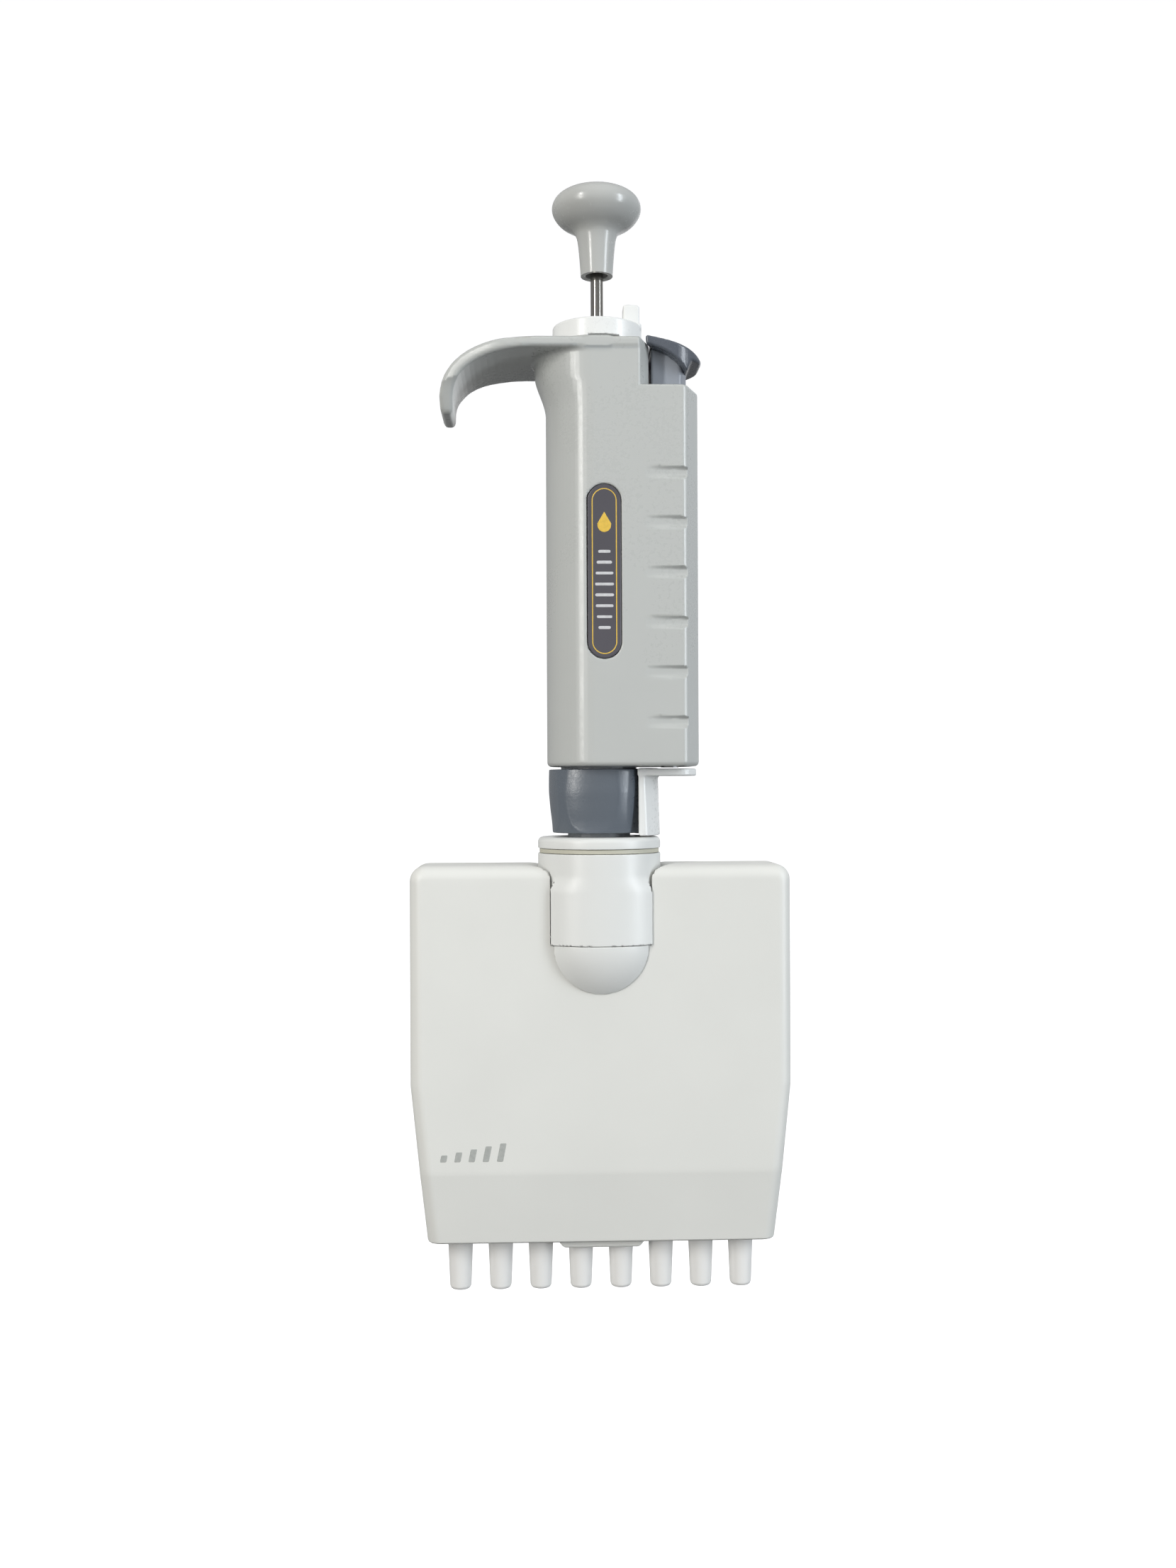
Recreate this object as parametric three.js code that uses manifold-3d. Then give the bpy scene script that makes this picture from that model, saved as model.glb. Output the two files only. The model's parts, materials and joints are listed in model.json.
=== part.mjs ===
// Eight-channel manual air-displacement pipette, 0.5 to 20 microlitre class.
// Millimetres, +Z up. The origin is on the plunger axis, level with the open ends of the eight tip cones.
// +X points from the finger hook towards the tip ejector, and the front of the handle faces -Y.
import * as THREE from 'three';
import { mergeVertices } from 'three/addons/utils/BufferGeometryUtils.js';
import Module from 'manifold-3d';

const wasm = await Module();
wasm.setup();

// ---- driving dimensions -------------------------------------------------------------------------

const FIT = 0.3; // running clearance between neighbouring pieces

const CHANNELS = 8;
const PITCH = 9; // channel spacing of a microplate
const CONE_TIP_R = 1.7;
const CONE_LOW_R = 2.4;
const CONE_TOP_R = 2.85;
const CONE_LENGTH = 12; // exposed below the manifold

const MANIFOLD_BOTTOM = 11.7;
const LIP_BOTTOM = 9.9;
const MANIFOLD_TOP = 95;
const MANIFOLD_HALF_WIDTH = 42.05;
const MANIFOLD_FOOT_HALF_WIDTH = 38.5;
const MANIFOLD_TAPER_TOP = 46.5;
const MANIFOLD_HALF_DEPTH = 9.2;
const MANIFOLD_FOOT_HALF_DEPTH = 7;
const MANIFOLD_BEVEL_TOP = 27.7;
const MANIFOLD_EDGE_R = 3;
const COVER_WALL = 1.8;
const LINING_INNER_Y = 6.7;

const SLEEVE_R = 13.75; // ejector sleeve, which stands proud of both manifold faces
const SLEEVE_BORE_R = 11.4;
const SLEEVE_TOP = 97.5;
const NOSE_SEAM = 77.7; // where the sleeve meets its domed noses
const NOSE_INNER = MANIFOLD_HALF_DEPTH + FIT;
const LUG_SPREAD = 1.072; // the lugs under the sleeve are this much wider than round
const NOSE_SPREAD = 1.04; // and the noses are this much wider and taller
const EJECT_TRAVEL = 3.8;

const COLLAR_BOTTOM = 98.6;
const COLLAR_TOP = 101.1;

const STEM_R = 7;
const STEM_LOW_R = 5; // below the collar, inside the sleeve
const STEM_BORE_R = 3.6;
const FRAME_PLATE_BOTTOM = 62;
const FRAME_PLATE_TOP = 66;
const BLOCK_BOTTOM = 17.5;
const BLOCK_TOP = 31;
const POST_X = 27;
const POST_R = 1.5;
const CROSSHEAD_BOTTOM = 52;
const CROSSHEAD_TOP = 58;
const PLUNGER_TRAVEL = 11.5;

const NUT_BOTTOM = 101.9;
const NUT_TOP = 116.2;
const NUT_R = 11.9;
const NUT_FACETS = 5;
const NUT_FACET_R = 20.4; // each facet bulges like a cylinder of this radius
const NUT_FACET_OUT = 11.2; // and stands this far out at its middle

const HANDLE_BOTTOM = 116.7;
const HANDLE_TOP = 209.6;
const HANDLE_LEFT = -11.6;
const HANDLE_RIGHT = 22;
const HANDLE_HALF_DEPTH = 14.4;
const HANDLE_CORNER_X = 18.65; // where the front face turns into the right-hand facet
const HANDLE_WALL = 2;
const SHOULDER_Z = 199.3; // floor of the cutaway under the ejector button
const CUTAWAY_X = 8.7;
const RIM_HEIGHT = 2.4;
const RIM_HALF_DEPTH = 14.9;

const RIB_COUNT = 6;
const RIB_PITCH = 10.8;
const RIB_TOP_Z = 181.7;
const RIB_HEIGHT = 3;
const RIB_DEPTH = 1.1;

const BADGE_X = 0.8;
const BADGE_Z = 158.8;
const BADGE_WIDTH = 7.4;
const BADGE_LENGTH = 37.8;

const ROD_R = 1.4;
const KNOB_BOTTOM = 227.1;
const KNOB_TOP = 246.9;
const KNOB_R = 10.05;
const LOCK_BOTTOM = 210.9;
const LOCK_TOP = 215.3;
const LOCK_R = 10;

const EJECTOR_ROD_X = 16;
const EJECTOR_ROD_R = 2;

// ---- materials ----------------------------------------------------------------------------------

const FINISHES = {
  shell: [0xbabdb8, 0.45, 0],
  manifold: [0xd9dad4, 0.5, 0],
  knob: [0xc6c6c3, 0.4, 0],
  dark: [0x5d646c, 0.4, 0],
  white: [0xeff0ee, 0.4, 0],
  steel: [0xc9ccd0, 0.2, 1],
  cone: [0xb3b2b3, 0.45, 0],
  frame: [0x8b9096, 0.5, 0],
  band: [0x8f8f86, 0.6, 0],
  badge: [0x4a4550, 0.35, 0.3],
  rubber: [0x2a2c2e, 0.8, 0],
  lens: [0xdfe8ee, 0.1, 0],
  spring: [0xb8bbc0, 0.3, 1],
};

const group = new THREE.Group();

function add(name, finish, geometry) {
  const [color, roughness, metalness] = FINISHES[finish];
  const mesh = new THREE.Mesh(geometry, new THREE.MeshStandardMaterial({ color, roughness, metalness }));
  mesh.name = name;
  group.add(mesh);
}

// ---- solids -------------------------------------------------------------------------------------

function welded(geometry) {
  const bare = geometry.clone();
  bare.deleteAttribute('normal');
  bare.deleteAttribute('uv');
  const merged = mergeVertices(bare, 1e-4);
  const index = [];
  for (let i = 0; i < merged.index.count; i += 3) {
    const [a, b, c] = [0, 1, 2].map((k) => merged.index.getX(i + k));
    if (a !== b && b !== c && c !== a) index.push(a, b, c);
  }
  merged.setIndex(index);
  return merged;
}

function solid(geometry) {
  const merged = welded(geometry);
  return new wasm.Manifold(
    new wasm.Mesh({
      numProp: 3,
      vertProperties: new Float32Array(merged.attributes.position.array),
      triVerts: new Uint32Array(merged.index.array),
    }),
  );
}

function shell(manifold) {
  const mesh = manifold.getMesh();
  const geometry = new THREE.BufferGeometry();
  geometry.setAttribute('position', new THREE.BufferAttribute(mesh.vertProperties, 3));
  geometry.setIndex(new THREE.BufferAttribute(mesh.triVerts, 1));
  return geometry;
}

function cut(body, ...tools) {
  return tools.reduce((left, tool) => left.subtract(tool), body);
}

function join(body, ...others) {
  return others.reduce((whole, other) => whole.add(other), body);
}

// A plan outline in X and Y raised between two heights.
function raised(shape, z0, z1, curveSegments = 8) {
  const options = { depth: z1 - z0, bevelEnabled: false, curveSegments };
  return new THREE.ExtrudeGeometry(shape, options).translate(0, 0, z0);
}

// A front elevation in X and Z pulled along Y.
function alongY(shape, y0, y1, curveSegments = 8) {
  const options = { depth: y1 - y0, bevelEnabled: false, curveSegments };
  return new THREE.ExtrudeGeometry(shape, options).rotateX(Math.PI / 2).translate(0, y1, 0);
}

// A side elevation in Y and Z pulled along X.
function alongX(shape, x0, x1, curveSegments = 8) {
  const options = { depth: x1 - x0, bevelEnabled: false, curveSegments };
  const turn = new THREE.Matrix4().makeBasis(
    new THREE.Vector3(0, 1, 0),
    new THREE.Vector3(0, 0, 1),
    new THREE.Vector3(1, 0, 0),
  );
  return new THREE.ExtrudeGeometry(shape, options).applyMatrix4(turn).translate(x0, 0, 0);
}

// A profile of [radius, height] turned about the Z axis, going up on its outer side.
function turned(profile, segments = 16, x = 0, y = 0) {
  const points = profile.map(([r, z]) => new THREE.Vector2(r, z));
  return new THREE.LatheGeometry(points, segments).rotateX(Math.PI / 2).translate(x, y, 0);
}

function disc(radius, z0, z1, segments = 16, x = 0, y = 0) {
  return turned([[0, z0], [radius, z0], [radius, z1], [0, z1]], segments, x, y);
}

function ring(inner, outer, z0, z1, segments = 16, x = 0, y = 0) {
  const profile = [[inner, z0], [outer, z0], [outer, z1], [inner, z1], [inner, z0]];
  return turned(profile, segments, x, y);
}

function box(x0, x1, y0, y1, z0, z1) {
  const geometry = new THREE.BoxGeometry(x1 - x0, y1 - y0, z1 - z0);
  return geometry.translate((x0 + x1) / 2, (y0 + y1) / 2, (z0 + z1) / 2);
}

function outline(points) {
  return new THREE.Shape(points.map(([a, b]) => new THREE.Vector2(a, b)));
}

// A compression spring standing on Z, its wire ends plain.
function spring(x, radius, wire, z0, z1, turns) {
  class Helix extends THREE.Curve {
    getPoint(t, target = new THREE.Vector3()) {
      const angle = 2 * Math.PI * turns * t;
      const z = z0 + wire + (z1 - z0 - 2 * wire) * t;
      return target.set(x + radius * Math.cos(angle), radius * Math.sin(angle), z);
    }
  }
  const section = new THREE.Shape();
  section.absarc(0, 0, wire, 0, 2 * Math.PI);
  const options = { steps: turns * 8, extrudePath: new Helix(), curveSegments: 2, bevelEnabled: false };
  return new THREE.ExtrudeGeometry(section, options);
}

const channelX = [];
for (let i = 0; i < CHANNELS; i += 1) {
  channelX.push((i - (CHANNELS - 1) / 2) * PITCH);
}

// ---- manifold: covers ---------------------------------------------------------------------------

// The outer box, or with an inset the space inside it.
function manifoldBody(inset, edge) {
  const half = MANIFOLD_HALF_WIDTH - inset - edge;
  const foot = MANIFOLD_FOOT_HALF_WIDTH - inset - edge;
  const top = MANIFOLD_TOP - inset - edge;
  const spare = 12; // run past the open bottom, which is trimmed later
  const low = foot - ((half - foot) * spare) / (MANIFOLD_TAPER_TOP - MANIFOLD_BOTTOM);
  const corner = 0.4;
  const elevation = new THREE.Shape();
  elevation.moveTo(-low, MANIFOLD_BOTTOM - spare);
  elevation.lineTo(low, MANIFOLD_BOTTOM - spare);
  elevation.lineTo(half, MANIFOLD_TAPER_TOP);
  elevation.absarc(half - corner, top - corner, corner, 0, Math.PI / 2);
  elevation.absarc(-half + corner, top - corner, corner, Math.PI / 2, Math.PI);
  elevation.lineTo(-half, MANIFOLD_TAPER_TOP);
  const depth = 2 * (MANIFOLD_HALF_DEPTH - inset - edge);
  const options = {
    depth,
    curveSegments: 3,
    bevelEnabled: edge > 0,
    bevelThickness: edge,
    bevelSize: edge,
    bevelSegments: 3,
  };
  const slab = new THREE.ExtrudeGeometry(elevation, options).rotateX(Math.PI / 2).translate(0, depth / 2, 0);
  const face = MANIFOLD_HALF_DEPTH - inset;
  const toe = MANIFOLD_FOOT_HALF_DEPTH - inset;
  const below = toe - ((face - toe) * spare) / (MANIFOLD_BEVEL_TOP - MANIFOLD_BOTTOM);
  const section = outline([
    [-below, MANIFOLD_BOTTOM - spare],
    [below, MANIFOLD_BOTTOM - spare],
    [face, MANIFOLD_BEVEL_TOP],
    [face, MANIFOLD_TOP + 1],
    [-face, MANIFOLD_TOP + 1],
    [-face, MANIFOLD_BEVEL_TOP],
  ]);
  return solid(slab).intersect(solid(alongX(section, -MANIFOLD_HALF_WIDTH - 5, MANIFOLD_HALF_WIDTH + 5)));
}

// A round well through both faces lets the sleeve slide down. It flares at the top edge.
function sleeveWell() {
  const r = SLEEVE_R + 0.4;
  const flare = 2.5;
  const floor = NOSE_SEAM - 0.2;
  const profile = [[0, floor], [r, floor], [r, MANIFOLD_TOP - flare]];
  for (let i = 1; i <= 3; i += 1) {
    const angle = (i * Math.PI) / 6;
    profile.push([r + flare * (1 - Math.cos(angle)), MANIFOLD_TOP - flare + flare * Math.sin(angle)]);
  }
  profile.push([r + flare, MANIFOLD_TOP + 1], [0, MANIFOLD_TOP + 1]);
  return solid(turned(profile, 32));
}

// The rear face leans in towards the foot.
function rearFaceY(z) {
  const slope = (MANIFOLD_HALF_DEPTH - MANIFOLD_FOOT_HALF_DEPTH) / (MANIFOLD_BEVEL_TOP - MANIFOLD_BOTTOM);
  return Math.min(MANIFOLD_HALF_DEPTH, MANIFOLD_FOOT_HALF_DEPTH + slope * (z - MANIFOLD_BOTTOM));
}

const COVER_SCREWS = [
  [-18, 64],
  [18, 64],
];
const SCREW_SHANK_R = 0.8;
const SCREW_HEAD_R = 2.2;
const SCREW_HEAD_HEIGHT = 0.8;
const SCREW_LENGTH = 5;

function rodAlongY(radius, y0, y1, x, z, segments = 16) {
  return disc(radius, y0, y1, segments).rotateX(-Math.PI / 2).translate(x, 0, z);
}

// The covers are hollow, apart from a lining round the well where it meets each face.
function trimmedCovers() {
  const width = MANIFOLD_HALF_WIDTH + 5;
  const round = disc(SLEEVE_R + 0.4 + COVER_WALL, NOSE_SEAM - 0.2 - COVER_WALL, MANIFOLD_TOP + 5, 32);
  const lining = cut(solid(round), solid(box(-20, 20, -LINING_INNER_Y, LINING_INNER_Y, 70, 110)));
  return cut(
    manifoldBody(0, MANIFOLD_EDGE_R),
    cut(manifoldBody(COVER_WALL, 0), lining),
    sleeveWell(),
    solid(box(-width, width, -20, 20, MANIFOLD_BOTTOM - 20, MANIFOLD_BOTTOM)),
  );
}

function addCovers() {
  const width = MANIFOLD_HALF_WIDTH + 5;
  const both = trimmedCovers();
  const front = both.intersect(solid(box(-width, width, -20, -FIT / 2, 0, 100)));
  let rear = both.intersect(solid(box(-width, width, FIT / 2, 20, 0, 100)));
  for (const [x, z] of COVER_SCREWS) {
    const face = rearFaceY(z);
    const hole = rodAlongY(SCREW_SHANK_R + FIT, 4, face + 1, x, z);
    const sink = rodAlongY(SCREW_HEAD_R + FIT, face - 1.2, face + 2, x, z);
    rear = cut(rear, solid(hole), solid(sink));
  }
  add('manifold_front_cover', 'manifold', shell(front));
  add('manifold_rear_cover', 'manifold', shell(rear));
}

function addCoverScrews() {
  COVER_SCREWS.forEach(([x, z], i) => {
    const head = rearFaceY(z) - 0.1;
    const seat = head - SCREW_HEAD_HEIGHT;
    const profile = [
      [0, head - SCREW_LENGTH],
      [SCREW_SHANK_R, head - SCREW_LENGTH + 0.6],
      [SCREW_SHANK_R, seat],
      [SCREW_HEAD_R, seat],
      [SCREW_HEAD_R - 0.3, head],
      [0, head],
    ];
    const screw = turned(profile, 16).rotateX(-Math.PI / 2).translate(x, 0, z);
    const slot = box(x - 0.3, x + 0.3, head - 0.45, head + 1, z - 3, z + 3);
    add(`cover_screw_${i + 1}`, 'steel', shell(cut(solid(screw), solid(slot))));
  });
}

// ---- manifold: frame, nozzles and pistons -------------------------------------------------------

const BLOCK_HALF_WIDTH = 35.2;
const BLOCK_HALF_DEPTH = 4.9;
const PLATE_HALF_DEPTH = 6.4;
const STEM_FLANGE_R = 8.5;

// The stem that the handle's nut holds, with the plate that the guide posts and covers hang from.
function addFrame() {
  const profile = [
    [STEM_BORE_R, FRAME_PLATE_BOTTOM - 1],
    [STEM_LOW_R, FRAME_PLATE_BOTTOM - 1],
    [STEM_LOW_R, 92],
    [STEM_R, 94],
    [STEM_R, 104.3],
    [STEM_FLANGE_R, 104.3],
    [STEM_FLANGE_R, 106.3],
    [5.2, 106.3],
    [5.2, 113],
    [STEM_BORE_R, 113],
    [STEM_BORE_R, FRAME_PLATE_BOTTOM - 1],
  ];
  const plate = box(-34, 34, -PLATE_HALF_DEPTH, PLATE_HALF_DEPTH, FRAME_PLATE_BOTTOM, FRAME_PLATE_TOP);
  const bored = cut(solid(plate), solid(disc(STEM_LOW_R - 0.5, FRAME_PLATE_BOTTOM - 1, FRAME_PLATE_TOP + 1)));
  let frame = join(bored, solid(turned(profile, 20)));
  for (const side of [-1, 1]) {
    frame = cut(frame, solid(disc(POST_R + FIT, 60, 70, 8, side * POST_X)));
  }
  for (const [x, z] of COVER_SCREWS) {
    frame = cut(frame, solid(rodAlongY(SCREW_SHANK_R + FIT, 3.6, 10, x, z, 8)));
  }
  add('manifold_frame', 'frame', shell(frame));
}

function addBlock() {
  let block = solid(
    box(-BLOCK_HALF_WIDTH, BLOCK_HALF_WIDTH, -BLOCK_HALF_DEPTH, BLOCK_HALF_DEPTH, BLOCK_BOTTOM, BLOCK_TOP),
  );
  for (const x of channelX) {
    block = cut(block, solid(disc(CONE_TOP_R + FIT, BLOCK_BOTTOM - 1, BLOCK_TOP + 1, 12, x)));
  }
  add('nozzle_block', 'frame', shell(block));
}

function addChannels() {
  const barrelR = 1.05;
  channelX.forEach((x, i) => {
    const nozzle = [
      [0.6, 0],
      [CONE_TIP_R, 0],
      [CONE_LOW_R, 1.3],
      [CONE_TOP_R, CONE_LENGTH],
      [CONE_TOP_R, BLOCK_TOP - FIT],
      [barrelR, BLOCK_TOP - FIT],
      [barrelR, 10],
      [0.6, 10],
      [0.6, 0],
    ];
    add(`tip_cone_${i + 1}`, 'cone', turned(nozzle, 12, x));
    const piston = [
      [0, 24],
      [0.8, 24],
      [0.8, CROSSHEAD_BOTTOM - 1.5],
      [1.8, CROSSHEAD_BOTTOM - 1.5],
      [1.8, CROSSHEAD_BOTTOM - FIT],
      [0, CROSSHEAD_BOTTOM - FIT],
    ];
    add(`piston_${i + 1}`, 'steel', turned(piston, 8, x));
  });
}

const GASKET_BOTTOM = BLOCK_TOP + 0.2;
const GASKET_TOP = GASKET_BOTTOM + 1.4;
const SEAL_PLATE_BOTTOM = GASKET_TOP + 0.2;
const SEAL_PLATE_TOP = SEAL_PLATE_BOTTOM + 1;

// A flat strip with one hole for each piston.
function channelStrip(halfWidth, halfDepth, z0, z1, holeR) {
  const holes = channelX.map((x) => solid(disc(holeR, z0 - 1, z1 + 1, 8, x)));
  return shell(cut(solid(box(-halfWidth, halfWidth, -halfDepth, halfDepth, z0, z1)), ...holes));
}

function addPistonDrive() {
  add('piston_gasket', 'rubber', channelStrip(34, 3.6, GASKET_BOTTOM, GASKET_TOP, 0.95));
  add('seal_plate', 'steel', channelStrip(34.8, 4.4, SEAL_PLATE_BOTTOM, SEAL_PLATE_TOP, 1.2));

  let bar = solid(box(-33.8, 33.8, -4.4, 4.4, CROSSHEAD_BOTTOM, CROSSHEAD_TOP));
  for (const side of [-1, 1]) {
    bar = cut(bar, solid(disc(POST_R + FIT, CROSSHEAD_BOTTOM - 1, CROSSHEAD_TOP + 1, 8, side * POST_X)));
    const [x0, x1] = [side * 15 - 9, side * 15 + 9];
    bar = cut(bar, solid(box(x0, x1, -5, -2.4, CROSSHEAD_BOTTOM + 2, CROSSHEAD_TOP + 1)));
    bar = cut(bar, solid(box(x0, x1, 2.4, 5, CROSSHEAD_BOTTOM + 2, CROSSHEAD_TOP + 1)));
  }
  add('piston_crosshead', 'frame', shell(bar));

  const rod = [
    [0, CROSSHEAD_TOP + FIT],
    [1.5, CROSSHEAD_TOP + FIT],
    [1.5, 113.7],
    [3.2, 113.7],
    [3.2, 116.6],
    [0, 116.6],
  ];
  add('push_rod', 'steel', turned(rod, 16));

  for (const [side, name] of [[-1, 'left'], [1, 'right']]) {
    const x = side * POST_X;
    add(`guide_post_${name}`, 'steel', disc(POST_R, SEAL_PLATE_TOP + FIT, POST_TOP, 8, x));
    const low = SEAL_PLATE_TOP + FIT;
    add(`piston_spring_${name}`, 'spring', spring(x, 2.35, 0.3, low, CROSSHEAD_BOTTOM - FIT, 6));
  }
  add('sleeve_spring', 'spring', spring(0, 5.85, 0.45, FRAME_PLATE_TOP + FIT, YOKE_BOTTOM - FIT, 3));
}

// ---- manifold: tip ejector ----------------------------------------------------------------------

const YOKE_BOTTOM = 80;
const YOKE_TOP = 82.4;
const SLEEVE_RING_BOTTOM = YOKE_TOP + 0.4;
const STRIP_INNER_X = 35.45;
const STRIP_OUTER_X = 36.5;
const COMB_HALF_WIDTH = 36.3;
const COMB_TOP = 14;
const POST_TOP = YOKE_BOTTOM - EJECT_TRAVEL - 2 * FIT;

// Everything of a round body that stands out past the front or the rear face of the manifold.
function proudOf(geometry, side) {
  const slab = side < 0 ? box(-20, 20, -20, -NOSE_INNER, 50, 120) : box(-20, 20, NOSE_INNER, 20, 50, 120);
  return solid(geometry).intersect(solid(slab));
}

function addSleeve() {
  const profile = [
    [SLEEVE_BORE_R, SLEEVE_RING_BOTTOM],
    [SLEEVE_R, SLEEVE_RING_BOTTOM],
    [SLEEVE_R, SLEEVE_TOP],
    [SLEEVE_BORE_R, SLEEVE_TOP],
    [SLEEVE_BORE_R, SLEEVE_RING_BOTTOM],
  ];
  let sleeve = solid(turned(profile, 32));
  const lug = disc(SLEEVE_R, NOSE_SEAM, SLEEVE_RING_BOTTOM + 1.5, 32).scale(LUG_SPREAD, 1, 1);
  for (const side of [-1, 1]) {
    sleeve = join(sleeve, proudOf(lug.clone(), side));
  }
  add('ejector_sleeve', 'manifold', shell(sleeve));

  const drop = SLEEVE_R * NOSE_SPREAD;
  const dome = [[0, NOSE_SEAM - 0.2 - drop]];
  const steps = 8;
  for (let i = 1; i <= steps; i += 1) {
    const angle = (i / steps) * (Math.PI / 2);
    dome.push([SLEEVE_R * Math.sin(angle), NOSE_SEAM - 0.2 - drop * Math.cos(angle)]);
  }
  dome.push([0, NOSE_SEAM - 0.2]);
  const nose = turned(dome, 32).scale(NOSE_SPREAD, 1, 1);
  add('sleeve_nose_front', 'manifold', shell(proudOf(nose.clone(), -1)));
  add('sleeve_nose_rear', 'manifold', shell(proudOf(nose, 1)));
  add('slip_ring', 'band', ring(SLEEVE_BORE_R, SLEEVE_R - 0.35, SLEEVE_TOP + 0.1, COLLAR_BOTTOM - 0.1, 24));
}

function addComb() {
  const depth = PLATE_HALF_DEPTH;
  const bridge = box(-STRIP_OUTER_X, STRIP_OUTER_X, -depth, depth, YOKE_BOTTOM, YOKE_TOP);
  const stemHole = disc(STEM_LOW_R + FIT, YOKE_BOTTOM - 1, YOKE_TOP + 1, 16);
  const yoke = join(
    solid(bridge),
    solid(box(-STRIP_OUTER_X, -STRIP_INNER_X, -3, 3, COMB_TOP + FIT, YOKE_TOP)),
    solid(box(STRIP_INNER_X, STRIP_OUTER_X, -3, 3, COMB_TOP + FIT, YOKE_TOP)),
  );
  add('ejector_yoke', 'steel', shell(cut(yoke, solid(stemHole))));

  const lip = outline([
    [-9, LIP_BOTTOM],
    [9, LIP_BOTTOM],
    [10, MANIFOLD_BOTTOM + 0.2],
    [-10, MANIFOLD_BOTTOM + 0.2],
  ]);
  const half = COMB_HALF_WIDTH;
  let comb = join(
    solid(box(-half, half, -BLOCK_HALF_DEPTH, BLOCK_HALF_DEPTH, MANIFOLD_BOTTOM + 0.1, COMB_TOP)),
    solid(alongY(lip, -BLOCK_HALF_DEPTH, BLOCK_HALF_DEPTH)),
  );
  for (const x of channelX) {
    comb = cut(comb, solid(disc(CONE_TOP_R + FIT, LIP_BOTTOM - 1, COMB_TOP + 1, 12, x)));
  }
  add('ejector_comb', 'manifold', shell(comb));
}

// ---- neck: collar, arm and nut ------------------------------------------------------------------

function addCollar() {
  const profile = [
    [STEM_R + 0.5, COLLAR_BOTTOM],
    [SLEEVE_R, COLLAR_BOTTOM],
    [SLEEVE_R, COLLAR_TOP - 1.2],
    [SLEEVE_R - 0.35, COLLAR_TOP - 0.35],
    [SLEEVE_R - 1.2, COLLAR_TOP],
    [STEM_R + 0.5, COLLAR_TOP],
    [STEM_R + 0.5, COLLAR_BOTTOM],
  ];
  add('ejector_collar', 'manifold', turned(profile, 32));
}

const ARM_INNER_R = 12.3;
const ARM_OUTER_R = 13.7;
const ARM_HALF_DEPTH = 9.3;
const SHELF_TOP = HANDLE_BOTTOM - 0.5;
const SHELF_BOTTOM = SHELF_TOP - 1.6;

// A shelf under the handle with a curved leg that reaches round the nut to the collar.
function addArm() {
  const shelf = new THREE.Shape();
  shelf.moveTo(8.1, -ARM_HALF_DEPTH);
  shelf.lineTo(16, -ARM_HALF_DEPTH);
  shelf.quadraticCurveTo(21.5, -ARM_HALF_DEPTH, 21.5, -4);
  shelf.lineTo(21.5, 4);
  shelf.quadraticCurveTo(21.5, ARM_HALF_DEPTH, 16, ARM_HALF_DEPTH);
  shelf.lineTo(8.1, ARM_HALF_DEPTH);
  const top = cut(
    solid(raised(shelf, SHELF_BOTTOM, SHELF_TOP)),
    solid(disc(ARM_INNER_R, SHELF_BOTTOM - 1, SHELF_TOP + 1, 40)),
  );
  const wall = [
    [ARM_INNER_R, COLLAR_TOP + FIT],
    [ARM_OUTER_R, COLLAR_TOP + FIT],
    [ARM_OUTER_R - 0.4, SHELF_BOTTOM + 0.5],
    [ARM_INNER_R, SHELF_BOTTOM + 0.5],
    [ARM_INNER_R, COLLAR_TOP + FIT],
  ];
  const leg = solid(turned(wall, 40)).intersect(solid(box(0, 20, -ARM_HALF_DEPTH, ARM_HALF_DEPTH, 90, 130)));
  add('ejector_arm', 'white', shell(join(top, leg)));
}

function addNut() {
  const profile = [
    [STEM_R + 0.4, NUT_BOTTOM],
    [10.4, NUT_BOTTOM],
    [10.9, 104],
    [11.45, 106.5],
    [NUT_R, 111],
    [11.7, NUT_TOP],
    [8.9, NUT_TOP],
    [8.9, 104],
    [STEM_R + 0.4, 104],
    [STEM_R + 0.4, NUT_BOTTOM],
  ];
  let nut = solid(turned(profile, 40));
  const bulge = solid(disc(NUT_FACET_R, NUT_BOTTOM - 2, NUT_TOP + 2, 90, 0, NUT_FACET_R - NUT_FACET_OUT));
  const facet = shell(cut(solid(box(-8, 8, -14, -6, NUT_BOTTOM - 1, NUT_TOP + 1)), bulge));
  for (let i = 0; i < NUT_FACETS; i += 1) {
    const turn = ((-11 + (360 / NUT_FACETS) * i) * Math.PI) / 180;
    nut = cut(nut, solid(facet.clone().rotateZ(turn)));
  }
  add('coupling_nut', 'dark', shell(nut));
}

// ---- handle -------------------------------------------------------------------------------------

// The handle's plan: a rounded left side, flat front and rear, and a bevelled right side.
function handlePlan(inset) {
  const depth = HANDLE_HALF_DEPTH - inset;
  const right = HANDLE_RIGHT - inset;
  const corner = HANDLE_CORNER_X - 0.6 * inset;
  const bevel = 6 - 0.3 * inset;
  const centre = -1;
  const plan = new THREE.Shape();
  plan.moveTo(right, -bevel);
  plan.lineTo(right, bevel);
  plan.lineTo(corner, depth);
  plan.lineTo(centre, depth);
  plan.absellipse(centre, 0, centre - HANDLE_LEFT - inset, depth, Math.PI / 2, 1.5 * Math.PI);
  plan.lineTo(corner, -depth);
  return plan;
}

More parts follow.
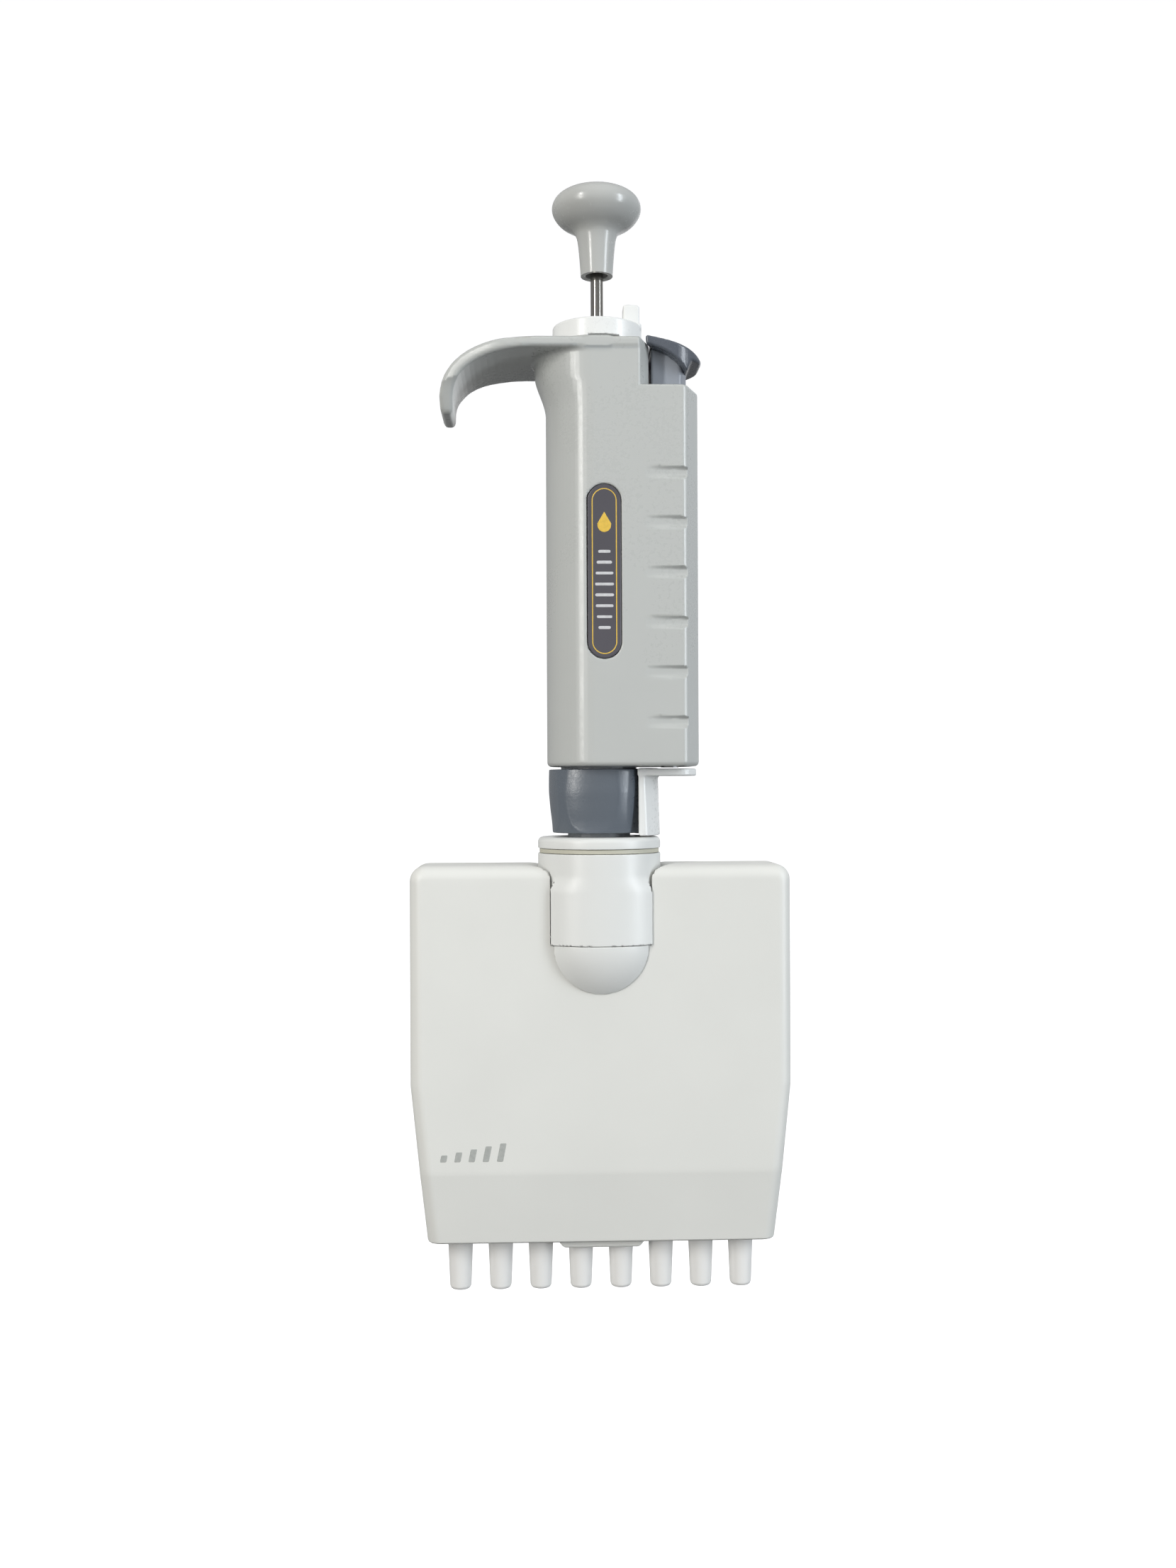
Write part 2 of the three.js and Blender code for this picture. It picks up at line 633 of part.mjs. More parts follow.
// The finger hook seen from the front, as a strip of even thickness that curls down.
function hookStrip() {
  const strip = new THREE.Shape();
  strip.moveTo(-4, HANDLE_TOP - RIM_HEIGHT);
  strip.lineTo(-16, 207.2);
  strip.bezierCurveTo(-25, 206.8, -31.6, 204, -32.1, 198);
  strip.lineTo(-32.1, 195.3);
  strip.lineTo(-32.7, 194.4);
  strip.lineTo(-34.1, 194.4);
  strip.lineTo(-34.8, 195.4);
  strip.lineTo(-35, 198);
  strip.bezierCurveTo(-34.2, 205, -28.5, 209.2, -18, HANDLE_TOP - 0.2);
  strip.lineTo(-14, HANDLE_TOP);
  strip.lineTo(-4, HANDLE_TOP);
  return strip;
}

function hook() {
  const plan = outline([
    [0, -RIM_HALF_DEPTH],
    [0, RIM_HALF_DEPTH],
    [-16, RIM_HALF_DEPTH],
    [-22, 14.3],
    [-28, 12.4],
    [-36, 10.6],
    [-36, -10.6],
    [-28, -12.4],
    [-22, -14.3],
    [-16, -RIM_HALF_DEPTH],
  ]);
  const side = outline([
    [-5.5, 194],
    [5.5, 194],
    [7.6, 195.4],
    [9, 198],
    [10.6, 201],
    [16, 206],
    [16, 211],
    [-16, 211],
    [-16, 206],
    [-10.6, 201],
    [-9, 198],
    [-7.6, 195.4],
  ]);
  const tongue = solid(alongY(hookStrip(), -16, 16, 7));
  const fillet = new THREE.Shape();
  fillet.moveTo(-10.6, 199);
  fillet.quadraticCurveTo(-12.6, 206.6, -17.5, 207.3);
  fillet.lineTo(-8, 207.5);
  fillet.lineTo(-8, 199);
  return join(
    tongue.intersect(solid(raised(plan, 190, 212))).intersect(solid(alongX(side, -40, 2))),
    solid(alongY(fillet, -7, 7, 4)),
  );
}

// The space above the shoulder where the ejector button moves.
function cutaway() {
  const plan = outline([
    [CUTAWAY_X, -16],
    [30, -16],
    [30, 16],
    [CUTAWAY_X, 16],
    [CUTAWAY_X, HANDLE_HALF_DEPTH],
    [11, 8],
    [11, -8],
    [CUTAWAY_X, -HANDLE_HALF_DEPTH],
  ]);
  return solid(raised(plan, SHOULDER_Z, HANDLE_TOP + 2));
}

function stemPlan(grow) {
  return outline([
    [11.6 - grow, -8 - grow],
    [18.2 + grow, -8 - grow],
    [19.6 + grow, -4.5],
    [19.6 + grow, 4.5],
    [18.2 + grow, 8 + grow],
    [11.6 - grow, 8 + grow],
  ]);
}

function pill(width, length) {
  const r = width / 2;
  const shape = new THREE.Shape();
  shape.absarc(BADGE_X, BADGE_Z + length / 2 - r, r, 0, Math.PI);
  shape.absarc(BADGE_X, BADGE_Z - length / 2 + r, r, Math.PI, 2 * Math.PI);
  return shape;
}

// Grip grooves get deeper towards the corner and end sharply there.
function ribGrooves(side) {
  const face = side * HANDLE_HALF_DEPTH;
  const groove = [[9.5, face], [19.1, face - side * RIB_DEPTH], [19.1, face + side], [9.5, face + side]];
  const plan = outline(side < 0 ? groove.slice().reverse() : groove);
  const grooves = [];
  for (let i = 0; i < RIB_COUNT; i += 1) {
    const top = RIB_TOP_Z - i * RIB_PITCH;
    grooves.push(solid(raised(plan, top - RIB_HEIGHT, top)));
  }
  return grooves;
}

function addHandle() {
  const body = join(
    solid(raised(handlePlan(0), HANDLE_BOTTOM, HANDLE_TOP, 10)),
    hook(),
    solid(raised(handlePlan(HANDLE_HALF_DEPTH - RIM_HALF_DEPTH), HANDLE_TOP - RIM_HEIGHT, HANDLE_TOP, 10)),
  );
  const hollow = solid(raised(handlePlan(HANDLE_WALL), HANDLE_BOTTOM - 1, HANDLE_TOP - HANDLE_WALL, 8));
  const underShoulder = box(CUTAWAY_X - HANDLE_WALL, 30, -20, 20, SHOULDER_Z - HANDLE_WALL, HANDLE_TOP);
  const handle = cut(
    body,
    cut(hollow, solid(underShoulder)),
    cutaway(),
    solid(raised(stemPlan(FIT), SHOULDER_Z - 4, SHOULDER_Z + 1)),
    solid(disc(5.6, HANDLE_TOP - 4, HANDLE_TOP + 1)),
    solid(box(-3.9, 3.9, HANDLE_HALF_DEPTH - 4, 16, 174.7, 190.3)),
    solid(alongY(pill(BADGE_WIDTH + 0.3, BADGE_LENGTH + 0.3), -16, -HANDLE_HALF_DEPTH + 0.9)),
    ...ribGrooves(-1),
    ...ribGrooves(1),
  );
  add('handle_shell', 'shell', shell(handle));
  const badgeFace = -HANDLE_HALF_DEPTH + 0.1;
  const badge = pill(BADGE_WIDTH - 0.2, BADGE_LENGTH - 0.2);
  add('badge_plate', 'badge', alongY(badge, badgeFace, badgeFace + 0.6));
  add('display_lens', 'lens', box(-3.6, 3.6, HANDLE_HALF_DEPTH - 1.2, HANDLE_HALF_DEPTH, 175, 190));
  const bush = [
    [1.8, 203.8],
    [6.4, 203.8],
    [6.4, 207.3],
    [5.3, 207.3],
    [5.3, 210.5],
    [1.8, 210.5],
    [1.8, 203.8],
  ];
  add('top_bush', 'frame', turned(bush, 16));
}

// ---- handle: core, plunger and volume setting ---------------------------------------------------

const CORE_TOP = 172;
const SPRING_FLOOR = 121;
const STOP_FACE = 149.4;
const ROD_COLLAR_TOP = STOP_FACE - 0.4;
const ROD_COLLAR_BOTTOM = ROD_COLLAR_TOP - 3;

// The threaded spigot for the nut, the base flange that closes the handle, and the spring housing.
function addCore() {
  const profile = [
    [5.6, 106.7],
    [8.5, 106.7],
    [8.5, CORE_TOP],
    [7.2, CORE_TOP],
    [7.2, SPRING_FLOOR],
    [1.9, SPRING_FLOOR],
    [1.9, 117.4],
    [5.6, 117.4],
    [5.6, 106.7],
  ];
  const flange = cut(
    solid(raised(handlePlan(HANDLE_WALL + FIT), 117.4, 120, 8)),
    solid(disc(8, 116, 121)),
  );
  const bracket = cut(solid(box(7.4, 19, -5, 5, 147.5, 150)), solid(disc(8, 146, 151)));
  const core = cut(
    join(solid(turned(profile, 20)), flange, bracket),
    solid(disc(EJECTOR_ROD_R + FIT, 110, 152, 16, EJECTOR_ROD_X)),
    solid(box(-1.8, 1.8, -9, -6, 143, 168)),
    solid(box(-1.8, 1.8, 6, 9, 143, 168)),
  );
  add('handle_core', 'frame', shell(core));
}

function addPlunger() {
  const knob = [
    [1.7, KNOB_BOTTOM],
    [3.6, KNOB_BOTTOM],
    [3.9, 231.5],
    [4.25, 234.4],
    [4.65, 236.4],
    [5.9, 237.4],
    [7.8, 238.3],
    [9.4, 240.2],
    [KNOB_R, 242.1],
    [9.65, 243.65],
    [8.3, 245.2],
    [6.2, 246.25],
    [0, KNOB_TOP],
    [0, 241],
    [1.7, 241],
    [1.7, KNOB_BOTTOM],
  ];
  add('push_button', 'knob', shell(solid(turned(knob, 28))));
  const rod = [
    [0, 117],
    [ROD_R, 117],
    [ROD_R, ROD_COLLAR_BOTTOM],
    [4.6, ROD_COLLAR_BOTTOM],
    [4.6, ROD_COLLAR_TOP],
    [ROD_R, ROD_COLLAR_TOP],
    [ROD_R, 240.7],
    [0, 240.7],
  ];
  add('plunger_rod', 'steel', turned(rod, 12));
  const low = SPRING_FLOOR + FIT;
  add('plunger_spring', 'spring', spring(0, 3.2, 0.4, low, ROD_COLLAR_BOTTOM - FIT, 7));
  const washerTop = ROD_COLLAR_BOTTOM - PLUNGER_TRAVEL - FIT;
  add('blowout_washer', 'steel', ring(4.3, 6.9, washerTop - 1.6, washerTop));
  add('blowout_spring', 'spring', spring(0, 5.6, 0.55, low, washerTop - 1.6 - FIT, 3));
}

const DRIVE_R = 4;
const WHEEL_BOTTOM = 174.8;
const WHEEL_HEIGHT = 4.8;
const WHEEL_STEP = 5.2;

function addVolumeSetting() {
  const stop = join(
    solid(ring(DRIVE_R + FIT, 6.9, STOP_FACE, 155)),
    solid(cutKey(-1)),
    solid(cutKey(1)),
  );
  add('stop_nut', 'frame', shell(stop));
  const drive = [
    [ROD_R + 0.3, STOP_FACE + 0.2],
    [DRIVE_R, STOP_FACE + 0.2],
    [DRIVE_R, 190.6],
    [8, 190.6],
    [8, 192.8],
    [DRIVE_R, 192.8],
    [DRIVE_R, 203.4],
    [ROD_R + 0.3, 203.4],
    [ROD_R + 0.3, STOP_FACE + 0.2],
  ];
  add('volume_drive', 'frame', turned(drive, 16));
  const holder = [
    [DRIVE_R + 0.35, 172.4],
    [8.4, 172.4],
    [8.4, WHEEL_BOTTOM - 0.4],
    [5, WHEEL_BOTTOM - 0.4],
    [5, 190.2],
    [DRIVE_R + 0.35, 190.2],
    [DRIVE_R + 0.35, 172.4],
  ];
  add('counter_holder', 'frame', turned(holder, 16));
  ['units', 'tens', 'hundreds'].forEach((name, i) => {
    const z = WHEEL_BOTTOM + i * WHEEL_STEP;
    add(`counter_wheel_${name}`, 'white', ring(5.35, 8.4, z, z + WHEEL_HEIGHT, 20));
  });
}

// The stop nut's two keys run in slots in the core, so it can slide but not turn.
function cutKey(side) {
  const inner = side < 0 ? -8.2 : 6.5;
  return box(-1.4, 1.4, inner, inner + 1.7, STOP_FACE, 155);
}

function addLock() {
  const lever = cut(
    join(
      solid(disc(LOCK_R, LOCK_BOTTOM, LOCK_TOP, 32)),
      solid(box(5.7, 9.4, -3.4, 0.6, LOCK_BOTTOM, 220)),
    ),
    solid(disc(ROD_R + 0.4, LOCK_BOTTOM - 1, LOCK_TOP + 1, 16)),
  );
  add('lock_lever', 'white', shell(lever));
}

// ---- ejector button -----------------------------------------------------------------------------

const STEM_BOTTOM = 170;

function addEjectorButton() {
  const leaf = new THREE.Shape();
  leaf.moveTo(9.4, 208.9);
  leaf.quadraticCurveTo(15, 208.6, 19.2, 203.4);
  leaf.lineTo(19.8, 203.6);
  leaf.lineTo(20.4, 205.7);
  leaf.lineTo(22.7, 205.9);
  leaf.lineTo(23.4, 206.6);
  leaf.quadraticCurveTo(18, 210.4, 9.4, 211.1);
  const plan = new THREE.Shape();
  plan.moveTo(9.9, -11.2);
  plan.lineTo(18, -11.2);
  plan.quadraticCurveTo(23.6, -10, 23.6, -4);
  plan.lineTo(23.6, 4);
  plan.quadraticCurveTo(23.6, 10, 18, 11.2);
  plan.lineTo(9.9, 11.2);
  plan.lineTo(11.4, 7.7);
  plan.lineTo(11.4, -7.7);
  const cap = solid(alongY(leaf, -12, 12, 6)).intersect(solid(raised(plan, 200, 213, 4)));
  const under = new THREE.Shape();
  under.moveTo(11, STEM_BOTTOM - 1);
  under.lineTo(21, STEM_BOTTOM - 1);
  under.lineTo(21, 205);
  under.quadraticCurveTo(18, 209, 11, 209.6);
  const stem = solid(raised(stemPlan(0), STEM_BOTTOM, 211)).intersect(solid(alongY(under, -12, 12, 6)));
  add('ejector_button', 'dark', shell(join(cap, stem)));
  add('ejector_rod', 'steel', disc(EJECTOR_ROD_R, SHELF_TOP + FIT, STEM_BOTTOM - FIT, 16, EJECTOR_ROD_X));
  add('ejector_spring', 'spring', spring(EJECTOR_ROD_X, 2.9, 0.4, 150.3, STEM_BOTTOM - FIT, 6));
}

// ---- assembly -----------------------------------------------------------------------------------

addHandle();
addCore();
addPlunger();
addVolumeSetting();
addLock();
addEjectorButton();
addArm();
addCollar();
addNut();
addSleeve();
addComb();
addFrame();
addBlock();
addChannels();
addPistonDrive();
addCovers();
addCoverScrews();

export default group;
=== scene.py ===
import json
import math

import bpy
import numpy as np
from mathutils import Matrix, Vector

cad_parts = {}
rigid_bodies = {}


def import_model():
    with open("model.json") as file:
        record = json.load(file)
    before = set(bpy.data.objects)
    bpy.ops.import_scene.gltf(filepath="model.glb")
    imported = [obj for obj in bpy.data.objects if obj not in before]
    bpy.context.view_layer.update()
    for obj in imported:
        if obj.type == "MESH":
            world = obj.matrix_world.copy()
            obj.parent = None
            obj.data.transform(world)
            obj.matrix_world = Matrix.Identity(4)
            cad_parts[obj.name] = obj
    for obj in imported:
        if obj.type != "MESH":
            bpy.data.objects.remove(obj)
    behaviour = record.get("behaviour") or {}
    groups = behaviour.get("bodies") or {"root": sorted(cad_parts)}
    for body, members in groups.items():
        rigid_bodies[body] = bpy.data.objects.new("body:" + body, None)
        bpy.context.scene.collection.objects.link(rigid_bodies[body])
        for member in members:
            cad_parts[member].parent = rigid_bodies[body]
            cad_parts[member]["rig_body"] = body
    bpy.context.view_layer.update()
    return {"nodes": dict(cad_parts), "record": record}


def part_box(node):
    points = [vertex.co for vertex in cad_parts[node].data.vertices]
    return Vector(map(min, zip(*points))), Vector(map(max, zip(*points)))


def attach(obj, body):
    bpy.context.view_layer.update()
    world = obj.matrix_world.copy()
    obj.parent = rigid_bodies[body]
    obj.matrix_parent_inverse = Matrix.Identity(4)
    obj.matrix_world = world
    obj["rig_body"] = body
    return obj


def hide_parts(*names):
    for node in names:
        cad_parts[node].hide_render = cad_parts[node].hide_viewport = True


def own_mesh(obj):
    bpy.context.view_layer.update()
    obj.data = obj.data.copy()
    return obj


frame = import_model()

scene = bpy.context.scene
MM = 0.001
COARSER = 1.0
CHANNELS = 8
SHARP = math.radians(38)  # edges that turn more than this stay sharp


def box_mm(node):
    """A CAD node's lowest and highest corners in millimetres."""
    low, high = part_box(node)
    return [v / MM for v in low], [v / MM for v in high]


# ---- shapes as distance fields, in millimetres: negative inside ---------------------


def both(a, b, radius=0.0):
    """Where two shapes overlap, with the edge between them rounded."""
    if radius <= 0:
        return np.maximum(a, b)
    u, v = np.maximum(a + radius, 0), np.maximum(b + radius, 0)
    return np.minimum(np.maximum(a, b), -radius) + np.sqrt(u * u + v * v)


def either(a, b, radius=0.0):
    """Two shapes joined, with a fillet in the corner between them."""
    return -both(-a, -b, radius)


def without(a, b, radius=0.0):
    """The first shape with the second cut out of it."""
    return both(a, -b, radius)


def polygon(points):
    """Signed distance to a closed outline."""
    corners = np.array(points, float)
    following = np.roll(corners, -1, 0)

    def field(u, v):
        u, v = np.broadcast_arrays(u, v)
        nearest = np.full(u.shape, 1e9)
        inside = np.zeros(u.shape, bool)
        for (ax, ay), (bx, by) in zip(corners, following):
            ex, ey = bx - ax, by - ay
            length = ex * ex + ey * ey
            if length < 1e-12:
                continue
            wx, wy = u - ax, v - ay
            t = np.clip((wx * ex + wy * ey) / length, 0, 1)
            nearest = np.minimum(nearest, (wx - ex * t) ** 2 + (wy - ey * t) ** 2)
            if ay != by:
                inside ^= ((ay > v) != (by > v)) & (u < ex * (v - ay) / ey + ax)
        return np.where(inside, -1, 1) * np.sqrt(nearest)

    return field


def rounded(points, radius, steps=6):
    """An outline with its corners rounded. A radius may be given for each corner."""
    count = len(points)
    radii = radius if isinstance(radius, (list, tuple)) else [radius] * count
    out = []
    for i in range(count):
        p, a, b = (np.array(points[k % count], float) for k in (i, i - 1, i + 1))
        u, v = a - p, b - p
        before, after = np.linalg.norm(u), np.linalg.norm(v)
        u, v = u / before, v / after
        half = math.acos(max(-1, min(1, float(u @ v)))) / 2
        straight_or_folded = half > 1.56 or half < 0.01
        if radii[i] <= 0 or straight_or_folded:
            out.append(tuple(p))
            continue
        reach = min(radii[i] / math.tan(half), 0.49 * before, 0.49 * after)
        r = reach * math.tan(half)
        centre = p + (u + v) / np.linalg.norm(u + v) * r / math.sin(half)
        start, end = p + u * reach - centre, p + v * reach - centre
        first = math.atan2(start[1], start[0])
        turn = (math.atan2(end[1], end[0]) - first + math.pi) % (2 * math.pi) - math.pi
        for k in range(steps + 1):
            angle = first + turn * k / steps
            out.append((centre[0] + r * math.cos(angle), centre[1] + r * math.sin(angle)))
    return out


def bezier(*points, steps=14):
    """Points along a quadratic or cubic curve, without the first."""
    out = []
    for k in range(1, steps + 1):
        t = k / steps
        level = [np.array(p, float) for p in points]
        while len(level) > 1:
            level = [p + (q - p) * t for p, q in zip(level, level[1:])]
        out.append(tuple(level[0]))
    return out


def eased(xs, ys, softness=0.12):
    """A line through a few points with its bends smoothed, as a function."""
    count = 240
    fine = np.linspace(xs[0], xs[-1], count)
    width = int(count * softness) | 1
    padded = np.pad(np.interp(fine, xs, ys), width, mode="reflect", reflect_type="odd")
    smooth = np.convolve(padded, np.ones(width) / width, "same")[width:-width]
    return lambda x: np.interp(x, fine, smooth)


def step_up(t):
    """An eased step from 0 to 1."""
    t = np.clip(t, 0, 1)
    return t * t * (3 - 2 * t)


def slab(z, low, high):
    """Everything between two parallel planes."""
    return np.maximum(low - z, z - high)


def around(x, y, cx=0.0, cy=0.0):
    """Distance from the axis through the point (cx, cy)."""
    return np.sqrt((x - cx) ** 2 + (y - cy) ** 2)


def skin(field, low, high, step):
    """A mesh of the field's surface: one vertex in each cell it crosses, moved onto it."""
    step *= COARSER
    margin = 1.7 * step
    low = np.array(low, float) - margin
    counts = [int(math.ceil((h + margin - l) / step)) + 1 for l, h in zip(low, high)]
    axes = [l + step * np.arange(n) for l, n in zip(low, counts)]
    values = field(axes[0][:, None, None], axes[1][None, :, None], axes[2][None, None, :])
    values = np.array(np.broadcast_to(values, counts))
    inside = values < 0
    corners = [(i, j, k) for i in (0, 1) for j in (0, 1) for k in (0, 1)]

    def corner(a, c):
        return a[tuple(slice(o, n - 1 + o) for o, n in zip(c, counts))]

    filled = sum(corner(inside, c).astype(np.int8) for c in corners)
    crossed = (filled > 0) & (filled < 8)
    index = np.full(crossed.shape, -1)
    index[crossed] = np.arange(crossed.sum())
    cells = np.argwhere(crossed)
    at = {c: corner(values, c)[crossed] for c in corners}
    total = np.zeros((len(cells), 3))
    hits = np.zeros(len(cells))
    for c in corners:
        for axis in range(3):
            if c[axis]:
                continue
            d = tuple(1 if a == axis else c[a] for a in range(3))
            cross = (at[c] < 0) != (at[d] < 0)
            with np.errstate(divide="ignore", invalid="ignore"):
                t = np.where(cross, at[c] / (at[c] - at[d]), 0)
            point = np.array(c, float)[None, :].repeat(len(cells), 0)
            point[:, axis] += t
            total += point * cross[:, None]
            hits += cross
    spots = low + step * (cells + total / hits[:, None])

    quads = []
    for axis in range(3):
        b, c = (axis + 1) % 3, (axis + 2) % 3
        here, there = [slice(None)] * 3, [slice(None)] * 3
        here[axis], there[axis] = slice(0, -1), slice(1, None)
        here[b] = here[c] = there[b] = there[c] = slice(1, -1)
        first, second = inside[tuple(here)], inside[tuple(there)]
        at_edge = np.argwhere(first != second)
        out = first[first != second]
        at_edge[:, b] += 1
        at_edge[:, c] += 1
        eb, ec = np.eye(3, dtype=int)[b], np.eye(3, dtype=int)[c]
        ring = [at_edge - eb - ec, at_edge - ec, at_edge, at_edge - eb]
        quad = np.stack([index[tuple(r.T)] for r in ring], 1)
        quad[~out] = quad[~out][:, ::-1]
        quads.append(quad)
    quads = np.concatenate(quads)

    tetra = np.array([(1, -1, -1), (-1, -1, 1), (-1, 1, -1), (1, 1, 1)], float)
    probe = 0.04
    for last in (False, False, False, True):
        slope = np.zeros_like(spots)
        value = np.zeros(len(spots))
        for t in tetra:
            s = field(*(spots + t * probe).T)
            slope += t * s[:, None]
            value += s / 4
        slope /= 4 * probe
        size = np.maximum(np.linalg.norm(slope, axis=1), 0.2)
        if last:
            break
        move = np.clip(value / size, -0.6 * step, 0.6 * step)
        spots -= slope / size[:, None] * move[:, None]
    normals = slope / np.linalg.norm(slope, axis=1)[:, None]
    return mesh_of(spots, quads, normals)


def mesh_of(spots, faces, normals=None):
    """A smooth mesh from points in millimetres."""
    mesh = bpy.data.meshes.new("piece")
    mesh.from_pydata((np.asarray(spots) * MM).tolist(), [], [list(map(int, f)) for f in faces])
    mesh.validate()
    mesh.shade_smooth()
    if normals is not None and len(mesh.vertices) == len(normals):
        mesh.normals_split_custom_set_from_vertices(normals.tolist())
    return mesh


def turned(profile, radius=0.15, segments=72, x=0.0, arc=4, closed=True):
    """A profile of (radius, height) turned about an upright axis, its corners rounded. It is closed unless
    closed is False."""
    radii = radius if isinstance(radius, (list, tuple)) else [radius] * len(profile)
    radii = [0 if p[0] < 1e-6 else r for p, r in zip(profile, radii)]
    line = rounded(profile, radii, arc)
    spots, rings = [], []
    for r, z in line:
        if r < 1e-6:
            rings.append([len(spots)] * segments)
            spots.append((x, 0, z))
            continue
        rings.append(list(range(len(spots), len(spots) + segments)))
        for k in range(segments):
            a = 2 * math.pi * k / segments
            spots.append((x + r * math.cos(a), r * math.sin(a), z))
    faces = []
    for i in range(len(rings) if closed else len(rings) - 1):
        p, q = rings[i], rings[(i + 1) % len(rings)]
        if p[0] == p[1] and q[0] == q[1]:
            continue
        for k in range(segments):
            n = (k + 1) % segments
            face = [p[k], p[n], q[n], q[k]]
            faces.append(list(dict.fromkeys(face)))
    mesh = mesh_of(spots, faces)
    mesh.set_sharp_from_angle(angle=SHARP)
    return mesh


def ring_profile(bore, low, high):
    """The section of a ring that fills a box, for turned()."""
    return [(bore, low[2]), (high[0], low[2]), (high[0], high[2]), (bore, high[2])]


# ---- materials ----------------------------------------------------------------------


def rgb(r, g, b):
    """A colour given in 0 to 255 as the display shows it, as linear light."""
    return tuple(
        c / 12.92 if c <= 0.04045 else ((c + 0.055) / 1.055) ** 2.4 for c in (r / 255, g / 255, b / 255)
    )


class Nodes:
    """A material's node tree, with short calls to make and link nodes."""

    def __init__(self, name):
        self.material = bpy.data.materials.new(name)
        self.material.use_nodes = True
        self.tree = self.material.node_tree
        self.tree.nodes.clear()
        self.out = self.make("ShaderNodeOutputMaterial")
        self.shader = self.make("ShaderNodeBsdfPrincipled")
        self.link(self.shader.outputs[0], self.out.inputs["Surface"])
        self.place = self.make("ShaderNodeTexCoord").outputs["Object"]

    def make(self, kind, **values):
        node = self.tree.nodes.new(kind)
        for key, value in values.items():
            setattr(node, key, value)
        return node

    def link(self, a, b):
        self.tree.links.new(a, b)

    def noise(self, scale, detail=2.0, stretch=None, roughness=0.5):
        node = self.make("ShaderNodeTexNoise")
        node.inputs["Scale"].default_value = scale
        node.inputs["Detail"].default_value = detail
        node.inputs["Roughness"].default_value = roughness
        place = self.place
        if stretch:
            mapping = self.make("ShaderNodeMapping")
            mapping.inputs["Scale"].default_value = stretch
            self.link(place, mapping.inputs["Vector"])
            place = mapping.outputs[0]
        self.link(place, node.inputs["Vector"])
        return node.outputs["Fac"]

    def span(self, value, low, high, to_low, to_high):
        node = self.make("ShaderNodeMapRange")
        numbers = {"From Min": low, "From Max": high, "To Min": to_low, "To Max": to_high}
        for name, number in numbers.items():
            node.inputs[name].default_value = number
        self.link(value, node.inputs["Value"])
        return node.outputs[0]

    def blend(self, factor, a, b):
        node = self.make("ShaderNodeMix", data_type="RGBA")
        self.link(factor, node.inputs[0])
        for socket, colour in ((node.inputs[6], a), (node.inputs[7], b)):
            if isinstance(colour, tuple):
                socket.default_value = (*colour, 1)
            else:
                self.link(colour, socket)
        return node.outputs[2]

    def sum(self, *values):
        total = values[0]
        for value in values[1:]:
            node = self.make("ShaderNodeMath", operation="ADD")
            self.link(total, node.inputs[0])
            self.link(value, node.inputs[1])
            total = node.outputs[0]
        return total

    def bump(self, height, strength, distance):
        node = self.make("ShaderNodeBump")
        node.inputs["Strength"].default_value = strength
        node.inputs["Distance"].default_value = distance
        self.link(height, node.inputs["Height"])
        self.link(node.outputs[0], self.shader.inputs["Normal"])

    def set(self, **values):
        for key, value in values.items():
            self.shader.inputs[key.replace("_", " ")].default_value = value


def plastic(name, colour, roughness, grain=3200, relief=0.25, depth=0.00003, shift=0.03, worn=0.25):
    """Moulded plastic: spark-eroded grain, faint flow mottling, dust and rubbed edges."""
    n = Nodes(name)
    mottle = n.noise(45, 4)
    fine = n.noise(grain, 2)
    speck = n.noise(900, 3, roughness=0.7)
    lighter = tuple(min(1, c * (1 + shift)) for c in colour)
    darker = tuple(c * (1 - shift) for c in colour)
    base = n.blend(n.span(mottle, 0.3, 0.7, 0, 1), darker, lighter)
    dust = tuple(c * 0.88 for c in colour)
    base = n.blend(n.span(speck, 0.68, 0.84, 0, 0.12), base, dust)
    edge = n.make("ShaderNodeNewGeometry").outputs["Pointiness"]
    rubbed = n.span(edge, 0.54, 0.64, 0, worn)
    polished = tuple(min(1, c * 1.12 + 0.015) for c in colour)
    base = n.blend(rubbed, base, polished)
    n.link(base, n.shader.inputs["Base Color"])
    rough = n.sum(
        n.span(mottle, 0.3, 0.7, roughness - 0.05, roughness + 0.05),
        n.span(speck, 0.4, 0.75, -0.02, 0.06),
        n.span(edge, 0.54, 0.64, 0, -0.3 * worn),
    )
    n.link(rough, n.shader.inputs["Roughness"])
    n.bump(n.sum(fine, n.span(mottle, 0, 1, 0, 0.6)), relief, depth)
    n.set(IOR=1.49)
    return n.material


def metal(name, colour, roughness, stretch, relief=0.12):
    """Drawn or ground metal with lines along the way it was worked."""
    n = Nodes(name)
    lines = n.noise(900, 4, stretch=stretch, roughness=0.65)
    stains = n.noise(160, 4)
    bright, dull = tuple(c * 1.04 for c in colour), tuple(c * 0.86 for c in colour)
    base = n.blend(n.span(stains, 0.35, 0.75, 0, 1), bright, dull)
    n.link(base, n.shader.inputs["Base Color"])
    rough = n.sum(
        n.span(lines, 0.3, 0.7, roughness * 0.7, roughness * 1.4),
        n.span(stains, 0.4, 0.75, 0, 0.08),
    )
    n.link(rough, n.shader.inputs["Roughness"])
    n.bump(lines, relief, 0.00001)
    n.set(Metallic=1.0)
    return n.material


def rubber(name):
    n = Nodes(name)
    fine = n.noise(2200, 3)
    stains = n.noise(120, 3)
    n.link(n.blend(stains, rgb(34, 36, 38), rgb(50, 52, 54)), n.shader.inputs["Base Color"])
    n.link(n.span(stains, 0.3, 0.7, 0.72, 0.9), n.shader.inputs["Roughness"])
    n.bump(fine, 0.3, 0.00004)
    return n.material


